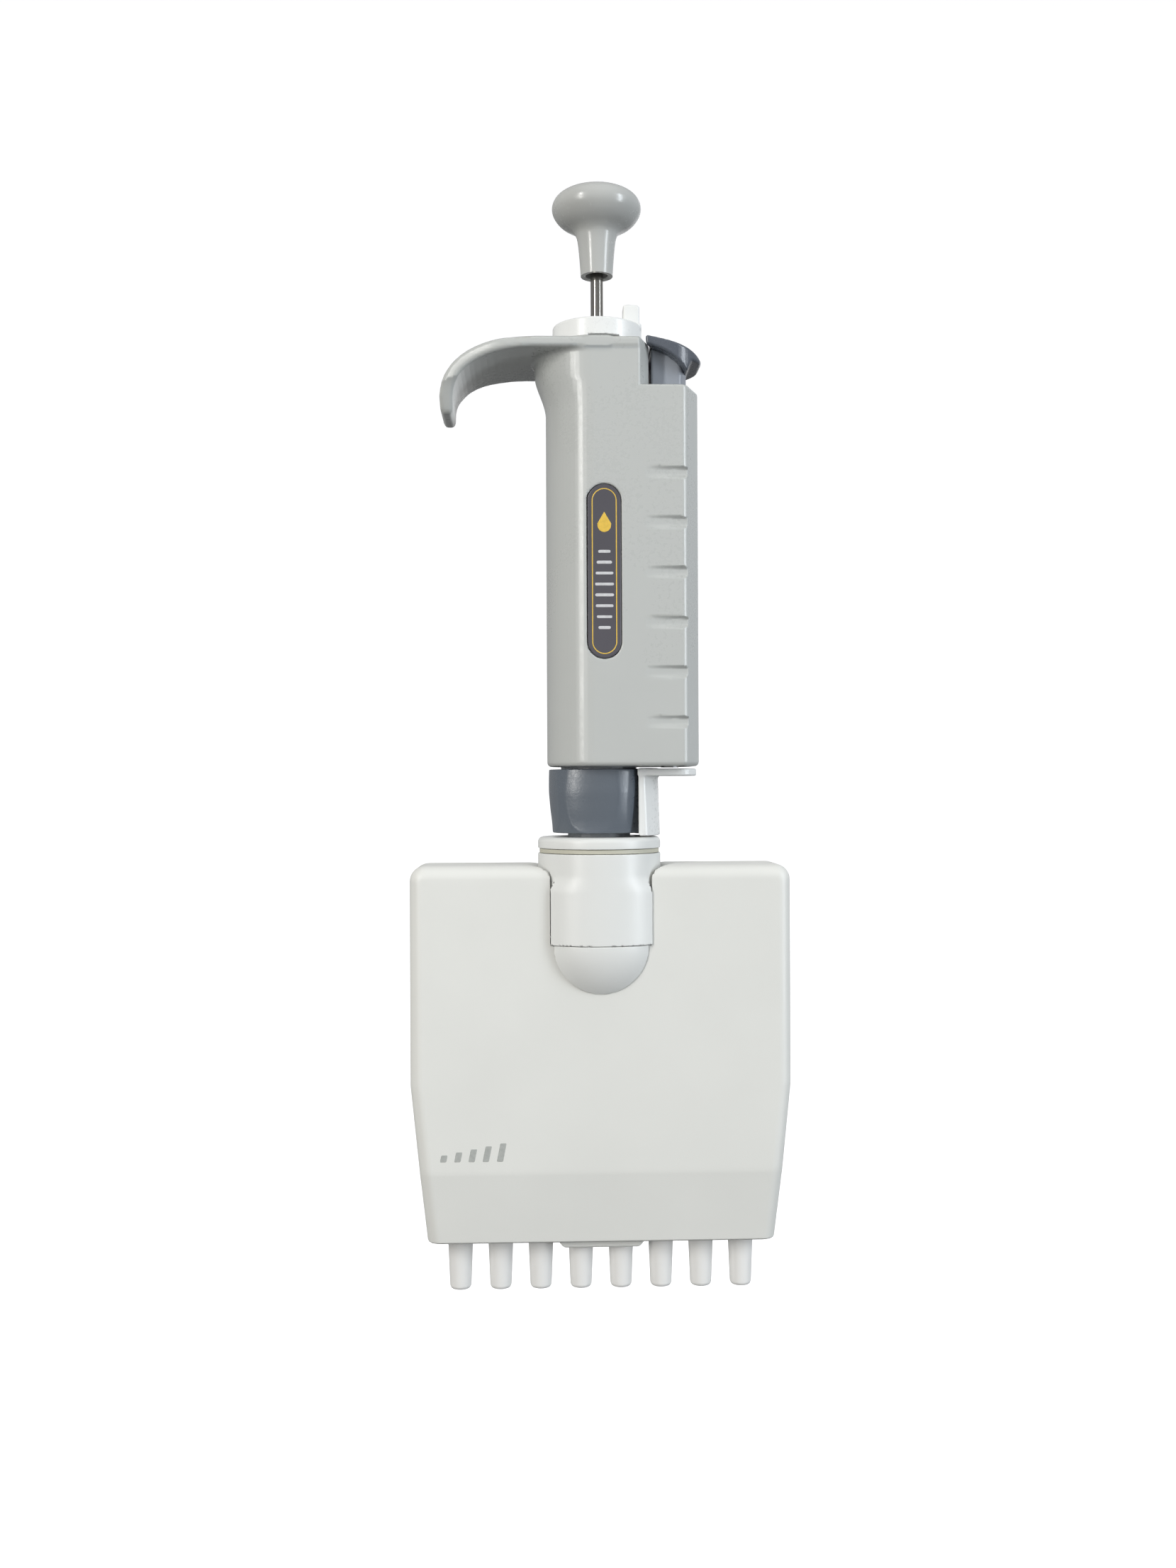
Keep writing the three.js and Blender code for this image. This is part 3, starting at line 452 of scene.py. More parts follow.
def clear(name):
    """Clear moulded window with faint scratches."""
    n = Nodes(name)
    scratches = n.noise(700, 5, stretch=(1, 1, 0.15), roughness=0.8)
    n.link(n.span(scratches, 0.55, 0.8, 0.03, 0.25), n.shader.inputs["Roughness"])
    n.bump(scratches, 0.05, 0.00001)
    n.set(Base_Color=(0.96, 0.98, 0.99, 1), IOR=1.49, Transmission_Weight=1.0)
    return n.material


def printed(name, colour, roughness=0.45):
    """Pad-printed ink, a little uneven."""
    n = Nodes(name)
    blotch = n.noise(1500, 4)
    faded = tuple(c * 0.85 for c in colour)
    n.link(n.blend(n.span(blotch, 0.35, 0.75, 0, 1), colour, faded), n.shader.inputs["Base Color"])
    n.link(n.span(blotch, 0.3, 0.7, roughness - 0.07, roughness + 0.1), n.shader.inputs["Roughness"])
    n.bump(blotch, 0.15, 0.00002)
    return n.material


HANDLE = plastic(
    "handle plastic", rgb(184, 186, 183), 0.3,
    grain=3600, relief=0.25, depth=0.00002, shift=0.015, worn=0.06,
)
MANIFOLD = plastic(
    "manifold plastic", rgb(219, 219, 214), 0.42, grain=2600, relief=0.35, shift=0.015, worn=0.15
)
NECK = plastic("neck plastic", rgb(220, 221, 218), 0.38, grain=3000, relief=0.25, shift=0.012, worn=0.15)
KNOB = plastic("knob plastic", rgb(180, 181, 178), 0.24, grain=2600, relief=0.2, shift=0.02)
DARK = plastic(
    "slate plastic", rgb(86, 91, 99), 0.27, grain=1700, relief=0.5, depth=0.00005, shift=0.05, worn=0.2
)
# The stem is the leaf's slate plastic painted lighter: a painted reflection of the light its front face
# catches.
PAINTED_SHEEN_STEM = plastic(
    "slate plastic with painted sheen", rgb(138, 143, 151), 0.33, grain=2100, relief=0.5, shift=0.05, worn=0.4
)
NUT = plastic(
    "nut plastic", rgb(94, 101, 109), 0.28, grain=1500, relief=0.4, depth=0.00006, shift=0.06, worn=0.25
)
WHITE = plastic("white plastic", rgb(227, 228, 226), 0.3, grain=3000, relief=0.2, shift=0.01, worn=0.1)
CONE = plastic("cone plastic", rgb(232, 231, 228), 0.36, grain=2600, relief=0.35, shift=0.025)
INNER = plastic("inner plastic", rgb(150, 155, 160), 0.45, grain=2400, relief=0.3, shift=0.04)
# A grey-beige ring where the neck shows a shaded groove: its colour is painted groove shade.
GROOVE_SHADE_BAND = plastic("slip ring painted groove shade", rgb(190, 188, 172), 0.5, grain=2600, relief=0.3, shift=0.03)
STEEL = metal("drawn steel", (0.3, 0.29, 0.27), 0.16, (1, 1, 0.02), relief=0.04)
TURNED_STEEL = metal("turned steel", (0.6, 0.6, 0.6), 0.28, (0.15, 0.15, 3))
SPRING = metal("spring steel", (0.55, 0.56, 0.58), 0.25, (1, 1, 1))
RUBBER = rubber("gasket rubber")
LENS = clear("window plastic")
BADGE = plastic("badge plate", rgb(80, 78, 84), 0.34, grain=5200, relief=0.5, shift=0.07, worn=0.2)
GILT = printed("gilt ink", rgb(226, 188, 78), 0.38)
SILVER_INK = printed("light grey ink", rgb(205, 205, 207), 0.4)
GREY_INK = printed("grey ink", rgb(172, 174, 170), 0.5)
DIGIT_INK = printed("digit ink", rgb(35, 38, 42), 0.5)


def piece(name, mesh, body, slot, material, *nodes):
    """A finished piece that rides on a CAD body and stands for its nodes."""
    mesh.name = name
    mesh.materials.append(material)
    o = bpy.data.objects.new(name, mesh)
    scene.collection.objects.link(o)
    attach(o, body)
    if nodes:
        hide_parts(*nodes)
    return o


# ---- camera: level, a little left of square -----------------------------------------

DISTANCE = 340.0
EYE_HEIGHT = 112.85
AZIMUTH = math.radians(-2.0)
ASIDE = 2.45
ROLL = math.radians(-0.25)

back = Vector((math.sin(AZIMUTH), -math.cos(AZIMUTH), 0))
right = Vector((math.cos(AZIMUTH), math.sin(AZIMUTH), 0))
camera_data = bpy.data.cameras.new("camera")
camera_data.sensor_width = 36
camera_data.lens = 34.65
camera_data.clip_start = 0.01
camera = bpy.data.objects.new("camera", camera_data)
scene.collection.objects.link(camera)
camera.rotation_mode = "QUATERNION"
camera.location = (back * DISTANCE - right * ASIDE + Vector((0, 0, EYE_HEIGHT))) * MM
aim = (-back).to_track_quat("-Z", "Y")
camera.rotation_quaternion = aim @ Matrix.Rotation(ROLL, 4, "Z").to_quaternion()
scene.camera = camera

# ---- handle moulding ----------------------------------------------------------------

shell_low, shell_high = box_mm("handle_shell")
HANDLE_LOW, HANDLE_TOP = shell_low[2], shell_high[2]
RIM_HALF = shell_high[1]
HANDLE_HALF = RIM_HALF - 0.5
PLAN_CENTRE, PLAN_LEFT = -1.0, -11.6
CORNER_X, RIGHT_X, FACET = 18.65, shell_high[0], 6.0
RIM_LOW = HANDLE_TOP - 2.4
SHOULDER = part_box("handle_core")[0][2] / MM + 92.6
CUT_X, CUT_INNER_X = 8.7, 11.0
WALL = 2.0
RIBS, RIB_PITCH, RIB_TOP, RIB_HEIGHT, RIB_DEPTH = 6, 10.8, 181.7, 3.0, 1.1
RIB_LEFT, RIB_RIGHT = 9.5, 19.1
FLARE, FLARE_LOW, FLARE_HIGH = 2.0, 195.0, 204.5
TOP_HOLE_R, WINDOW_HALF_W, OPENING_DEPTH = 5.6, 3.9, 4
ROUND_STEPS = 36


def handle_plan(grow=0.0):
    """The handle seen from above: round on the left, with three facets on the right."""
    left = [
        (
            PLAN_CENTRE - (PLAN_CENTRE - PLAN_LEFT + grow) * math.sin(math.pi * k / ROUND_STEPS),
            (HANDLE_HALF + grow) * math.cos(math.pi * k / ROUND_STEPS),
        )
        for k in range(ROUND_STEPS + 1)
    ]
    side = [
        (CORNER_X + 0.6 * grow, -HANDLE_HALF - grow),
        (RIGHT_X + grow, -FACET),
        (RIGHT_X + grow, FACET),
        (CORNER_X + 0.6 * grow, HANDLE_HALF + grow),
    ]
    radii = [0] * len(left) + [1.6, 2.0, 2.0, 1.6]
    return polygon(rounded(left + side, radii, 4))


plan = handle_plan()
rim_plan = handle_plan(RIM_HALF - HANDLE_HALF)
hook_strip = polygon(  # the finger hook seen from the front, as (x, z)
    rounded(
        [(2, RIM_LOW), (-14, RIM_LOW)]
        + [(-16, 207.2)]
        + bezier((-16, 207.2), (-25, 206.8), (-31.6, 204), (-32.1, 198))
        + [(-32.1, 195.3), (-32.6, 194.4), (-34.2, 194.4), (-34.85, 195.4), (-35, 198)]
        + bezier((-35, 198), (-34.2, 205), (-28.5, 209.2), (-18, 209.4))
        + [(-14, HANDLE_TOP), (2, HANDLE_TOP)],
        [0, 0] + [0] * 15 + [0.6, 0.6, 0.6, 0.6, 0] + [0] * 14 + [0, 0],
        3,
    )
)
hook_width_x = eased([-37, -28, -22, -16, 0], [9.9, 12.3, 14.2, 14.9, 14.9])
hook_width_z = eased([192, 195.4, 198, 201, 206, 212], [5.6, 7.6, 9.0, 10.6, 16, 22], 0.16)
cut_plan = polygon(  # the cutaway above the shoulder, seen from above
    [
        (CUT_X, -20), (34, -20), (34, 20), (CUT_X, 20),
        (CUT_X, HANDLE_HALF), (CUT_INNER_X, 8), (CUT_INNER_X, -8), (CUT_X, -HANDLE_HALF),
    ]
)
plate_low, plate_high = box_mm("badge_plate")
badge_x, badge_z = (plate_low[0] + plate_high[0]) / 2, (plate_low[2] + plate_high[2]) / 2
badge_half_width = (plate_high[0] - plate_low[0]) / 2
badge_half_length = (plate_high[2] - plate_low[2]) / 2
BADGE_FIT, BADGE_DEPTH = 0.14, 0.9
window_low, window_high = box_mm("display_lens")
window_z, lens_half = (window_low[2] + window_high[2]) / 2, (window_high[2] - window_low[2]) / 2
window_half = lens_half + 0.3
button_low, button_high = box_mm("ejector_button")


def stem_plan(grow):
    """The ejector button's stem seen from above."""
    return polygon(
        rounded(
            [
                (11.6 - grow, -8 - grow), (18.2 + grow, -8 - grow), (19.6 + grow, -4.5),
                (19.6 + grow, 4.5), (18.2 + grow, 8 + grow), (11.6 - grow, 8 + grow),
            ],
            [0.5, 1.2, 1.2, 1.2, 1.2, 0.5],
        )
    )


stem_hole = stem_plan(0.3)


def pill(x, z, half_width, half_length):
    """An upright outline with round ends, centred on the badge."""
    straight = half_length - half_width
    along = np.maximum(np.abs(z - badge_z) - straight, 0)
    return np.sqrt((x - badge_x) ** 2 + along**2) - half_width


def handle_field(x, y, z):
    """Body, rim and hook joined, then hollowed, pierced and grooved."""
    rise = step_up((z - FLARE_LOW) / (FLARE_HIGH - FLARE_LOW))
    left = np.clip((PLAN_CENTRE - x) / (PLAN_CENTRE - PLAN_LEFT), 0, 1.3)
    flat = plan(x + FLARE * rise * left, y)
    body = both(flat, slab(z, HANDLE_LOW, HANDLE_TOP - 0.6), 1.0)
    rim = both(rim_plan(x, y), slab(z, RIM_LOW, HANDLE_TOP), 0.9)
    shape = either(body, rim, 0.35)
    across = np.minimum(hook_width_z(z), hook_width_x(x))
    hook = both(hook_strip(x, z), np.abs(y) - across, 1.0)
    shape = either(shape, hook, 0.9)
    shape = without(shape, np.maximum(cut_plan(x, y), SHOULDER - z), 0.45)
    hollow = np.maximum(flat + WALL, z - HANDLE_TOP + WALL)
    hollow = np.maximum(hollow, np.minimum(x - CUT_X + WALL, z - SHOULDER + WALL))
    shape = without(shape, hollow, 0.3)
    shape = without(shape, np.maximum(stem_hole(x, y), SHOULDER - OPENING_DEPTH - z), 0.25)
    top_hole = np.maximum(around(x, y) - TOP_HOLE_R, HANDLE_TOP - OPENING_DEPTH - z)
    shape = without(shape, top_hole, 0.3)
    window = both(np.abs(x) - WINDOW_HALF_W, np.abs(z - window_z) - window_half, 0.9)
    shape = without(shape, np.maximum(window, HANDLE_HALF - OPENING_DEPTH - y), 0.35)
    edge = pill(x, z, badge_half_width + BADGE_FIT, badge_half_length + BADGE_FIT)
    recess = np.maximum(edge, y + HANDLE_HALF - BADGE_DEPTH)
    shape = without(shape, recess, 0.3)
    row = np.clip(np.round((RIB_TOP - RIB_HEIGHT / 2 - z) / RIB_PITCH), 0, RIBS - 1)
    dz = z - (RIB_TOP - RIB_HEIGHT / 2 - row * RIB_PITCH)
    scoop = step_up((RIB_HEIGHT / 2 - dz) / 0.8) * step_up((dz + RIB_HEIGHT / 2) / 1.1)
    depth = RIB_DEPTH * scoop * np.clip((x - RIB_LEFT) / (RIB_RIGHT - RIB_LEFT), 0, 1)
    groove = both(HANDLE_HALF - depth - np.abs(y), x - RIB_RIGHT, 0.3)
    return np.maximum(shape, -np.maximum(groove, 0.02 - depth))


moulding = skin(handle_field, shell_low, shell_high, 0.5)
piece("handle_moulding", moulding, "handle", "handle_plastic", HANDLE, "handle_shell")

# ---- badge: plate, gilt border and a plain motif ------------------------------------


def plate_along_y(field2d, low, high, y0, y1, radius, step):
    """A flat shape in X and Z, from y0 to y1, with rounded edges."""

    def field(x, y, z):
        return both(field2d(x, z), slab(y, y0, y1), radius)

    return skin(field, (low[0], y0, low[1]), (high[0], y1, high[1]), step)


badge_face = plate_low[1]
badge_low = (plate_low[0], plate_low[2])
badge_high = (plate_high[0], plate_high[2])
piece(
    "badge_blank",
    plate_along_y(
        lambda x, z: pill(x, z, badge_half_width, badge_half_length),
        badge_low, badge_high, badge_face, plate_high[1], 0.18, 0.22,
    ),
    "handle", "badge", BADGE, "badge_plate",
)
INK_PROUD, INK_SUNK = 0.03, 0.1
ink = (badge_face - INK_PROUD, badge_face + INK_SUNK)
BORDER_INSET, BORDER_HALF = 1.0, 0.14
BARS_TOP, DROP_TOP = badge_z + 7, badge_z + 15


def border(x, z):
    line = pill(x, z, badge_half_width - BORDER_INSET, badge_half_length - BORDER_INSET)
    return np.abs(line) - BORDER_HALF


piece(
    "badge_border",
    plate_along_y(border, badge_low, badge_high, *ink, 0.02, 0.11),
    "handle", "badge", GILT,
)


def bars(x, z):
    """Eight short level bars above one another, one for each channel, longest in the middle."""
    lowest, pitch, bar_r = badge_z - 12.2, 2.35, 0.36
    row = np.clip(np.round((z - lowest) / pitch), 0, CHANNELS - 1)
    half = 0.8 + 0.95 * np.sin(math.pi * (row + 0.7) / 8.4)
    away = np.maximum(np.abs(x - badge_x) - half, 0)
    return np.sqrt(away**2 + (z - lowest - row * pitch) ** 2) - bar_r


def drop(x, z):
    """A liquid drop above the bars."""
    cz, drop_r = badge_z + 9.9, 1.5
    round_part = around(x, z, badge_x, cz) - drop_r
    slope = (np.abs(x - badge_x) * 0.86 + (z - cz) * 0.5) - drop_r
    point = np.maximum(slope, cz + 0.2 - z)
    return np.minimum(round_part, point)


piece(
    "badge_bars",
    plate_along_y(bars, badge_low, (plate_high[0], BARS_TOP), *ink, 0.02, 0.16),
    "handle", "badge", SILVER_INK,
)
piece(
    "badge_drop",
    plate_along_y(drop, (plate_low[0], BARS_TOP), (plate_high[0], DROP_TOP), *ink, 0.02, 0.14),
    "handle", "badge", GILT,
)

# ---- window and volume counter on the rear ------------------------------------------


def lens_field(x, y, z):
    flat = both(np.abs(x) - window_high[0], np.abs(z - window_z) - lens_half, 0.7)
    return both(flat, slab(y, window_low[1], window_high[1]), 0.25)


piece(
    "counter_window", skin(lens_field, window_low, window_high, 0.3), "handle", "lens", LENS, "display_lens"
)


WHEEL_BORE_R, DIGIT_SIZE, DIGIT_RELIEF = 5.35, 3.6, 0.03
DIGIT_MIDDLE = 0.35  # of its size, above the line it stands on


def wheel(node, shown):
    """A counter wheel with its ten digits round it, the shown one facing the window."""
    low, high = box_mm(node)
    outer = high[0]
    mesh = turned(ring_profile(WHEEL_BORE_R, low, high), 0.18, 80)
    spots = [tuple(v.co / MM) for v in mesh.vertices]
    faces = [list(f.vertices) for f in mesh.polygons]
    plain = len(faces)
    for digit in range(10):
        text = bpy.data.curves.new("digit", "FONT")
        text.body = str(digit)
        text.size = DIGIT_SIZE
        text.align_x = "CENTER"
        text.extrude = DIGIT_RELIEF
        text.resolution_u = 3
        holder = bpy.data.objects.new("digit", text)
        scene.collection.objects.link(holder)
        bpy.context.view_layer.update()
        flat = bpy.data.meshes.new_from_object(holder.evaluated_get(bpy.context.evaluated_depsgraph_get()))
        base = (low[2] + high[2]) / 2 - DIGIT_MIDDLE * DIGIT_SIZE
        start = len(spots)
        centre = math.pi / 2 - (digit - shown) * math.tau / 10
        for v in flat.vertices:
            angle = centre + v.co.x / outer
            r = outer + v.co.z
            spots.append((r * math.cos(angle), r * math.sin(angle), base + v.co.y))
        faces += [[start + i for i in f.vertices] for f in flat.polygons]
        bpy.data.objects.remove(holder)
        bpy.data.curves.remove(text)
        bpy.data.meshes.remove(flat)
    whole = bpy.data.meshes.new(node)
    whole.from_pydata([tuple(c * MM for c in s) for s in spots], [], faces)
    whole.shade_smooth()
    whole.set_sharp_from_angle(angle=SHARP)
    piece("digits_" + node, whole, frame["nodes"][node]["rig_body"], "white_plastic", WHITE, node)
    whole.materials.append(DIGIT_INK)
    for i, f in enumerate(whole.polygons):
        f.material_index = 1 if i >= plain else 0
    bpy.data.meshes.remove(mesh)


wheel("counter_wheel_hundreds", 2)
wheel("counter_wheel_tens", 0)
wheel("counter_wheel_units", 0)

# ---- plunger: knob and rod ----------------------------------------------------------

knob_low, knob_high = box_mm("push_button")
KNOB_PROFILE = [  # depth below the top, radius
    (19.8, 3.6), (15.4, 3.9), (12.4, 4.2), (11.2, 4.45), (10.4, 4.75), (9.8, 5.3), (9.2, 6.2),
    (8.6, 7.4), (7.8, 8.5), (6.7, 9.4), (5.7, 9.9), (4.8, 10.05), (3.99, 9.97), (3.17, 9.65),
    (2.36, 9.05), (1.63, 8.1), (0.98, 6.8), (0.49, 5.0), (0.16, 2.9), (0.02, 1.0),
]


KNOB_BORE_R, KNOB_BORE_END, KNOB_MOUTH_R = 1.75, 5.9, 2.45


def knob_mesh():
    """The turned knob with its bore for the rod."""
    depth, radius = np.array(KNOB_PROFILE).T
    t = np.linspace(0, 1, len(depth))
    fine = np.linspace(0, 1, 6 * len(depth))
    kernel = np.ones(7) / 7
    smooth = []
    for line in (knob_high[2] - depth, radius):
        padded = np.pad(np.interp(fine, t, line), 7, mode="reflect", reflect_type="odd")
        smooth.append(np.convolve(padded, kernel, "same")[7:-7])
    outer = [(float(r), float(z)) for z, r in zip(*smooth)]
    bottom = knob_low[2]
    outer[0] = (outer[0][0], bottom)
    bore_end = knob_high[2] - KNOB_BORE_END
    mouth = [(KNOB_BORE_R, bottom + 2.6), (KNOB_MOUTH_R, bottom + 2.2), (KNOB_MOUTH_R, bottom)]
    profile = [(0, bore_end), (KNOB_BORE_R, bore_end)] + mouth + outer + [(0, knob_high[2])]
    radii = [0, 0, 0.1, 0.15, 0.35] + [0] * len(outer) + [0]
    return turned(profile, radii, 96)


piece("knob", knob_mesh(), "plunger", "knob_plastic", KNOB, "push_button")
rod_low, rod_high = box_mm("plunger_rod")
ROD_R, COLLAR_R = 1.4, rod_high[0]
COLLAR_UNDER, COLLAR_OVER = 3.4, 0.4  # how far its faces lie below the stop nut
stop_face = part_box("stop_nut")[0][2] / MM
piece(
    "plunger_rod_drawn",
    turned(
        [
            (0, rod_low[2]), (ROD_R, rod_low[2]),
            (ROD_R, stop_face - COLLAR_UNDER), (COLLAR_R, stop_face - COLLAR_UNDER),
            (COLLAR_R, stop_face - COLLAR_OVER), (ROD_R, stop_face - COLLAR_OVER),
            (ROD_R, rod_high[2]), (0, rod_high[2]),
        ],
        0.15, 64,
    ),
    "plunger", "steel", STEEL, "plunger_rod",
)

# ---- lock lever ---------------------------------------------------------------------

lock_low, lock_high = box_mm("lock_lever")
LOCK_R = lock_high[0]
LOCK_TOP = lock_low[2] + 4.4
LOCK_HOLE_R, STUB_Y = 1.8, -1.4


def lock_field(x, y, z):
    """A disc with a thumb stub on it and a shallow slot under its front."""
    disc = both(around(x, y) - LOCK_R, slab(z, lock_low[2], LOCK_TOP), 0.45)
    relief = both(np.abs(x - 1) - 3.4, slab(z, lock_low[2] - 1, lock_low[2] + 0.5), 0.1)
    disc = without(disc, np.maximum(relief, y + 6.5), 0.1)
    stub_top = lock_high[2] - 0.12 * np.abs(x - 7.0) - 0.02 * (y + 3.4)
    stub_plan = both(np.abs(x - 7.55) - 1.85, np.abs(y - STUB_Y) - 2.0, 0.55)
    stub = both(stub_plan, slab(z, lock_low[2], stub_top), 0.5)
    foot_plan = both(np.abs(x - 7.7) - 2.1, np.abs(y - STUB_Y) - 2.3, 0.6)
    foot = both(foot_plan, slab(z, LOCK_TOP - 1, LOCK_TOP + 0.35), 0.3)
    shape = either(disc, either(stub, foot, 0.3), 0.4)
    return without(shape, around(x, y) - LOCK_HOLE_R, 0.3)


piece(
    "lock_ring", skin(lock_field, lock_low, lock_high, 0.3), "lock", "white_plastic", WHITE, "lock_lever"
)

# ---- ejector button -----------------------------------------------------------------

leaf = polygon(  # the thumb leaf seen from the front, as (x, z)
    rounded(
        bezier((9.4, 208.9), (15, 208.6), (19.1, 203.6))
        + [(19.6, 203.7), (20.4, 206.0), (22.7, 206.1), (23.4, 206.8)]
        + bezier((23.4, 206.8), (19, 209.4), (9.4, 211.1)),
        [0.5] + [0] * 13 + [0.3, 0.8, 0.5, 0.4] + [0] * 14 + [0.5],
        4,
    )
)
leaf_plan = polygon(  # and seen from above
    rounded(
        [(9.9, -11.2), (15.5, -11.2)]
        + bezier((16.5, -11.1), (22.6, -9.8), (23.5, -1.5))
        + bezier((23.5, 1.5), (22.6, 9.8), (16.5, 11.1))
        + [(15.5, 11.2), (9.9, 11.2), (11.4, 7.7), (11.4, -7.7)],
        [0.6] + [0] * 30 + [0.6, 0.4, 0.4],
        8,
    )
)
stem_outline = stem_plan(0.0)
stem_side = polygon(
    [(8, button_low[2]), (24, button_low[2]), (24, 205)]
    + bezier((21, 205), (18, 209), (11, 209.6))
    + [(8, 209.6)]
)


def cap_field(x, y, z):
    return both(leaf(x, z), leaf_plan(x, y), 0.55)


def stem_field(x, y, z):
    stem = both(stem_outline(x, y), stem_side(x, z), 0.3)
    return without(stem, cap_field(x, y, z) + 0.15, 0.1)


piece(
    "ejector_thumb_leaf", skin(cap_field, button_low, button_high, 0.32),
    "ejector", "dark_plastic", DARK, "ejector_button",
)
stem_low, stem_high = (11, -8.2, button_low[2]), (20, 8.2, 209.8)
# the stem takes the lighter slate, a painted reflection
piece("ejector_stem", skin(stem_field, stem_low, stem_high, 0.36), "ejector", "dark_plastic", PAINTED_SHEEN_STEM)

# ---- ejector arm and collar ---------------------------------------------------------

arm_low, arm_high = box_mm("ejector_arm")
ARM_OUTER, ARM_INNER = 13.7, 12.3
ARM_HALF = arm_high[1]
SHELF_LOW = arm_high[2] - 1.6
shelf_plan = polygon(
    rounded(
        [(8.1, -ARM_HALF), (arm_high[0], -ARM_HALF), (arm_high[0], ARM_HALF), (8.1, ARM_HALF)],
        [0.3, 4.6, 4.6, 0.3],
        8,
    )
)


def arm_field(x, y, z):
    r = around(x, y)
    shelf = both(shelf_plan(x, y), slab(z, SHELF_LOW, arm_high[2]), 0.35)
    outer = ARM_OUTER - 0.4 * np.clip((z - arm_low[2]) / (SHELF_LOW - arm_low[2]), 0, 1)
    leg = both(both(r - outer, ARM_INNER - r, 0.25), np.abs(y) - ARM_HALF, 0.35)
    leg = both(leg, slab(z, arm_low[2], arm_high[2]), 0.3)
    leg = np.maximum(leg, 4 - x)
    return np.maximum(either(shelf, leg, 0.5), ARM_INNER - r)


piece(
    "ejector_bracket", skin(arm_field, arm_low, arm_high, 0.34),
    "ejector", "white_plastic", WHITE, "ejector_arm",
)

BORE_R = 11.4  # of the sleeve and the slip ring
COLLAR_BORE_R = 7.5
collar_low, collar_high = box_mm("ejector_collar")
piece(
    "collar_ring",
    turned(ring_profile(COLLAR_BORE_R, collar_low, collar_high), [0.2, 0.15, 1.1, 0.2], 120, arc=8),
    "ejector", "manifold_plastic", NECK, "ejector_collar",
)
band_low, band_high = box_mm("slip_ring")
# the band's grey is painted shade for the groove between collar and neck
piece(
    "slip_band",
    turned(ring_profile(BORE_R, band_low, band_high), 0.08, 120),
    "sleeve", "band_plastic", GROOVE_SHADE_BAND, "slip_ring",
)

# ---- coupling nut -------------------------------------------------------------------

nut_low, nut_high = box_mm("coupling_nut")
NUT_R = 11.9
NUT_BORE_R, NUT_COUNTERBORE_R, NUT_STEP_Z = 7.4, 8.9, 104
FACETS, FACET_R, FACET_OUT = 5, 20.4, 11.2
FACET_START = -90 - 11  # degrees
nut_side = polygon(
    [(NUT_BORE_R, nut_low[2]), (10.4, nut_low[2])]
    + bezier((10.4, nut_low[2]), (11.5, 105.4), (NUT_R, 111.0), steps=10)
    + bezier((NUT_R, 111.0), (NUT_R, 114), (11.7, nut_high[2]), steps=6)
    + [(NUT_COUNTERBORE_R, nut_high[2]), (NUT_COUNTERBORE_R, NUT_STEP_Z), (NUT_BORE_R, NUT_STEP_Z)]
)
nut_swell = eased([nut_low[2] - 2, 104, 107, 111, 114, nut_high[2] + 2], [-0.9, -0.75, -0.35, 0, 0, -0.15])


def nut_field(x, y, z):
    """A turned nut with broad, slightly bulging facets."""
    shape = nut_side(around(x, y), z)
    shape = both(shape, slab(z, nut_low[2], nut_high[2]), 0.3)
    for i in range(FACETS):
        a = math.radians(FACET_START + 360 / FACETS * i)
        setback = FACET_R - FACET_OUT
        out = around(x, y, -setback * math.cos(a), -setback * math.sin(a)) - FACET_R - nut_swell(z)
        ahead = x * math.cos(a) + y * math.sin(a) > 4
        shape = np.where(ahead, both(shape, out, 0.08), shape)
    return shape


piece("fluted_nut", skin(nut_field, nut_low, nut_high, 0.3), "nut", "dark_plastic", NUT, "coupling_nut")

# ---- manifold covers ----------------------------------------------------------------

front_low, front_high = box_mm("manifold_front_cover")
rear_low, rear_high = box_mm("manifold_rear_cover")
HALF_W, FOOT_W, TAPER_TOP = front_high[0], 38.5, 46.5
COVER_LOW, COVER_TOP = front_low[2], front_high[2]
HALF_D, FOOT_D, BEVEL_TOP = rear_high[1], 7.0, 27.7
COVER_WALL, EDGE_R, LINING_Y = 1.8, 3.0, 6.7
SPARE, FACE_SPARE = 12, 16  # the outlines run on below the foot, which is cut flat
WELL_DROP = 0.2
slope = (HALF_W - FOOT_W) / (TAPER_TOP - COVER_LOW)
elevation = polygon(
    rounded(
        [
            (-FOOT_W + SPARE * slope, COVER_LOW - SPARE), (FOOT_W - SPARE * slope, COVER_LOW - SPARE),
            (HALF_W, TAPER_TOP), (HALF_W, COVER_TOP), (-HALF_W, COVER_TOP), (-HALF_W, TAPER_TOP),
        ],
        [0, 0, 6, 3.4, 3.4, 6],
        8,
    )
)
face_y = eased(
    [COVER_LOW - FACE_SPARE, BEVEL_TOP, COVER_TOP + 8],
    [FOOT_D - FACE_SPARE * (HALF_D - FOOT_D) / (BEVEL_TOP - COVER_LOW), HALF_D, HALF_D],
    0.012,
)
nose_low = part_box("ejector_sleeve")[0][2] / MM
SLEEVE_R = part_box("ejector_sleeve")[1][0] / MM
WELL_R, FLARE_R = SLEEVE_R + 0.4, 2.5
screws = [box_mm("cover_screw_1"), box_mm("cover_screw_2")]
SINK_R, SINK_DEPTH, SCREW_HOLE_R, SHANK_R = 2.5, 1.2, 1.1, 0.8
CROSS_HALF_W, CROSS_HALF_L = 0.3, 1.35


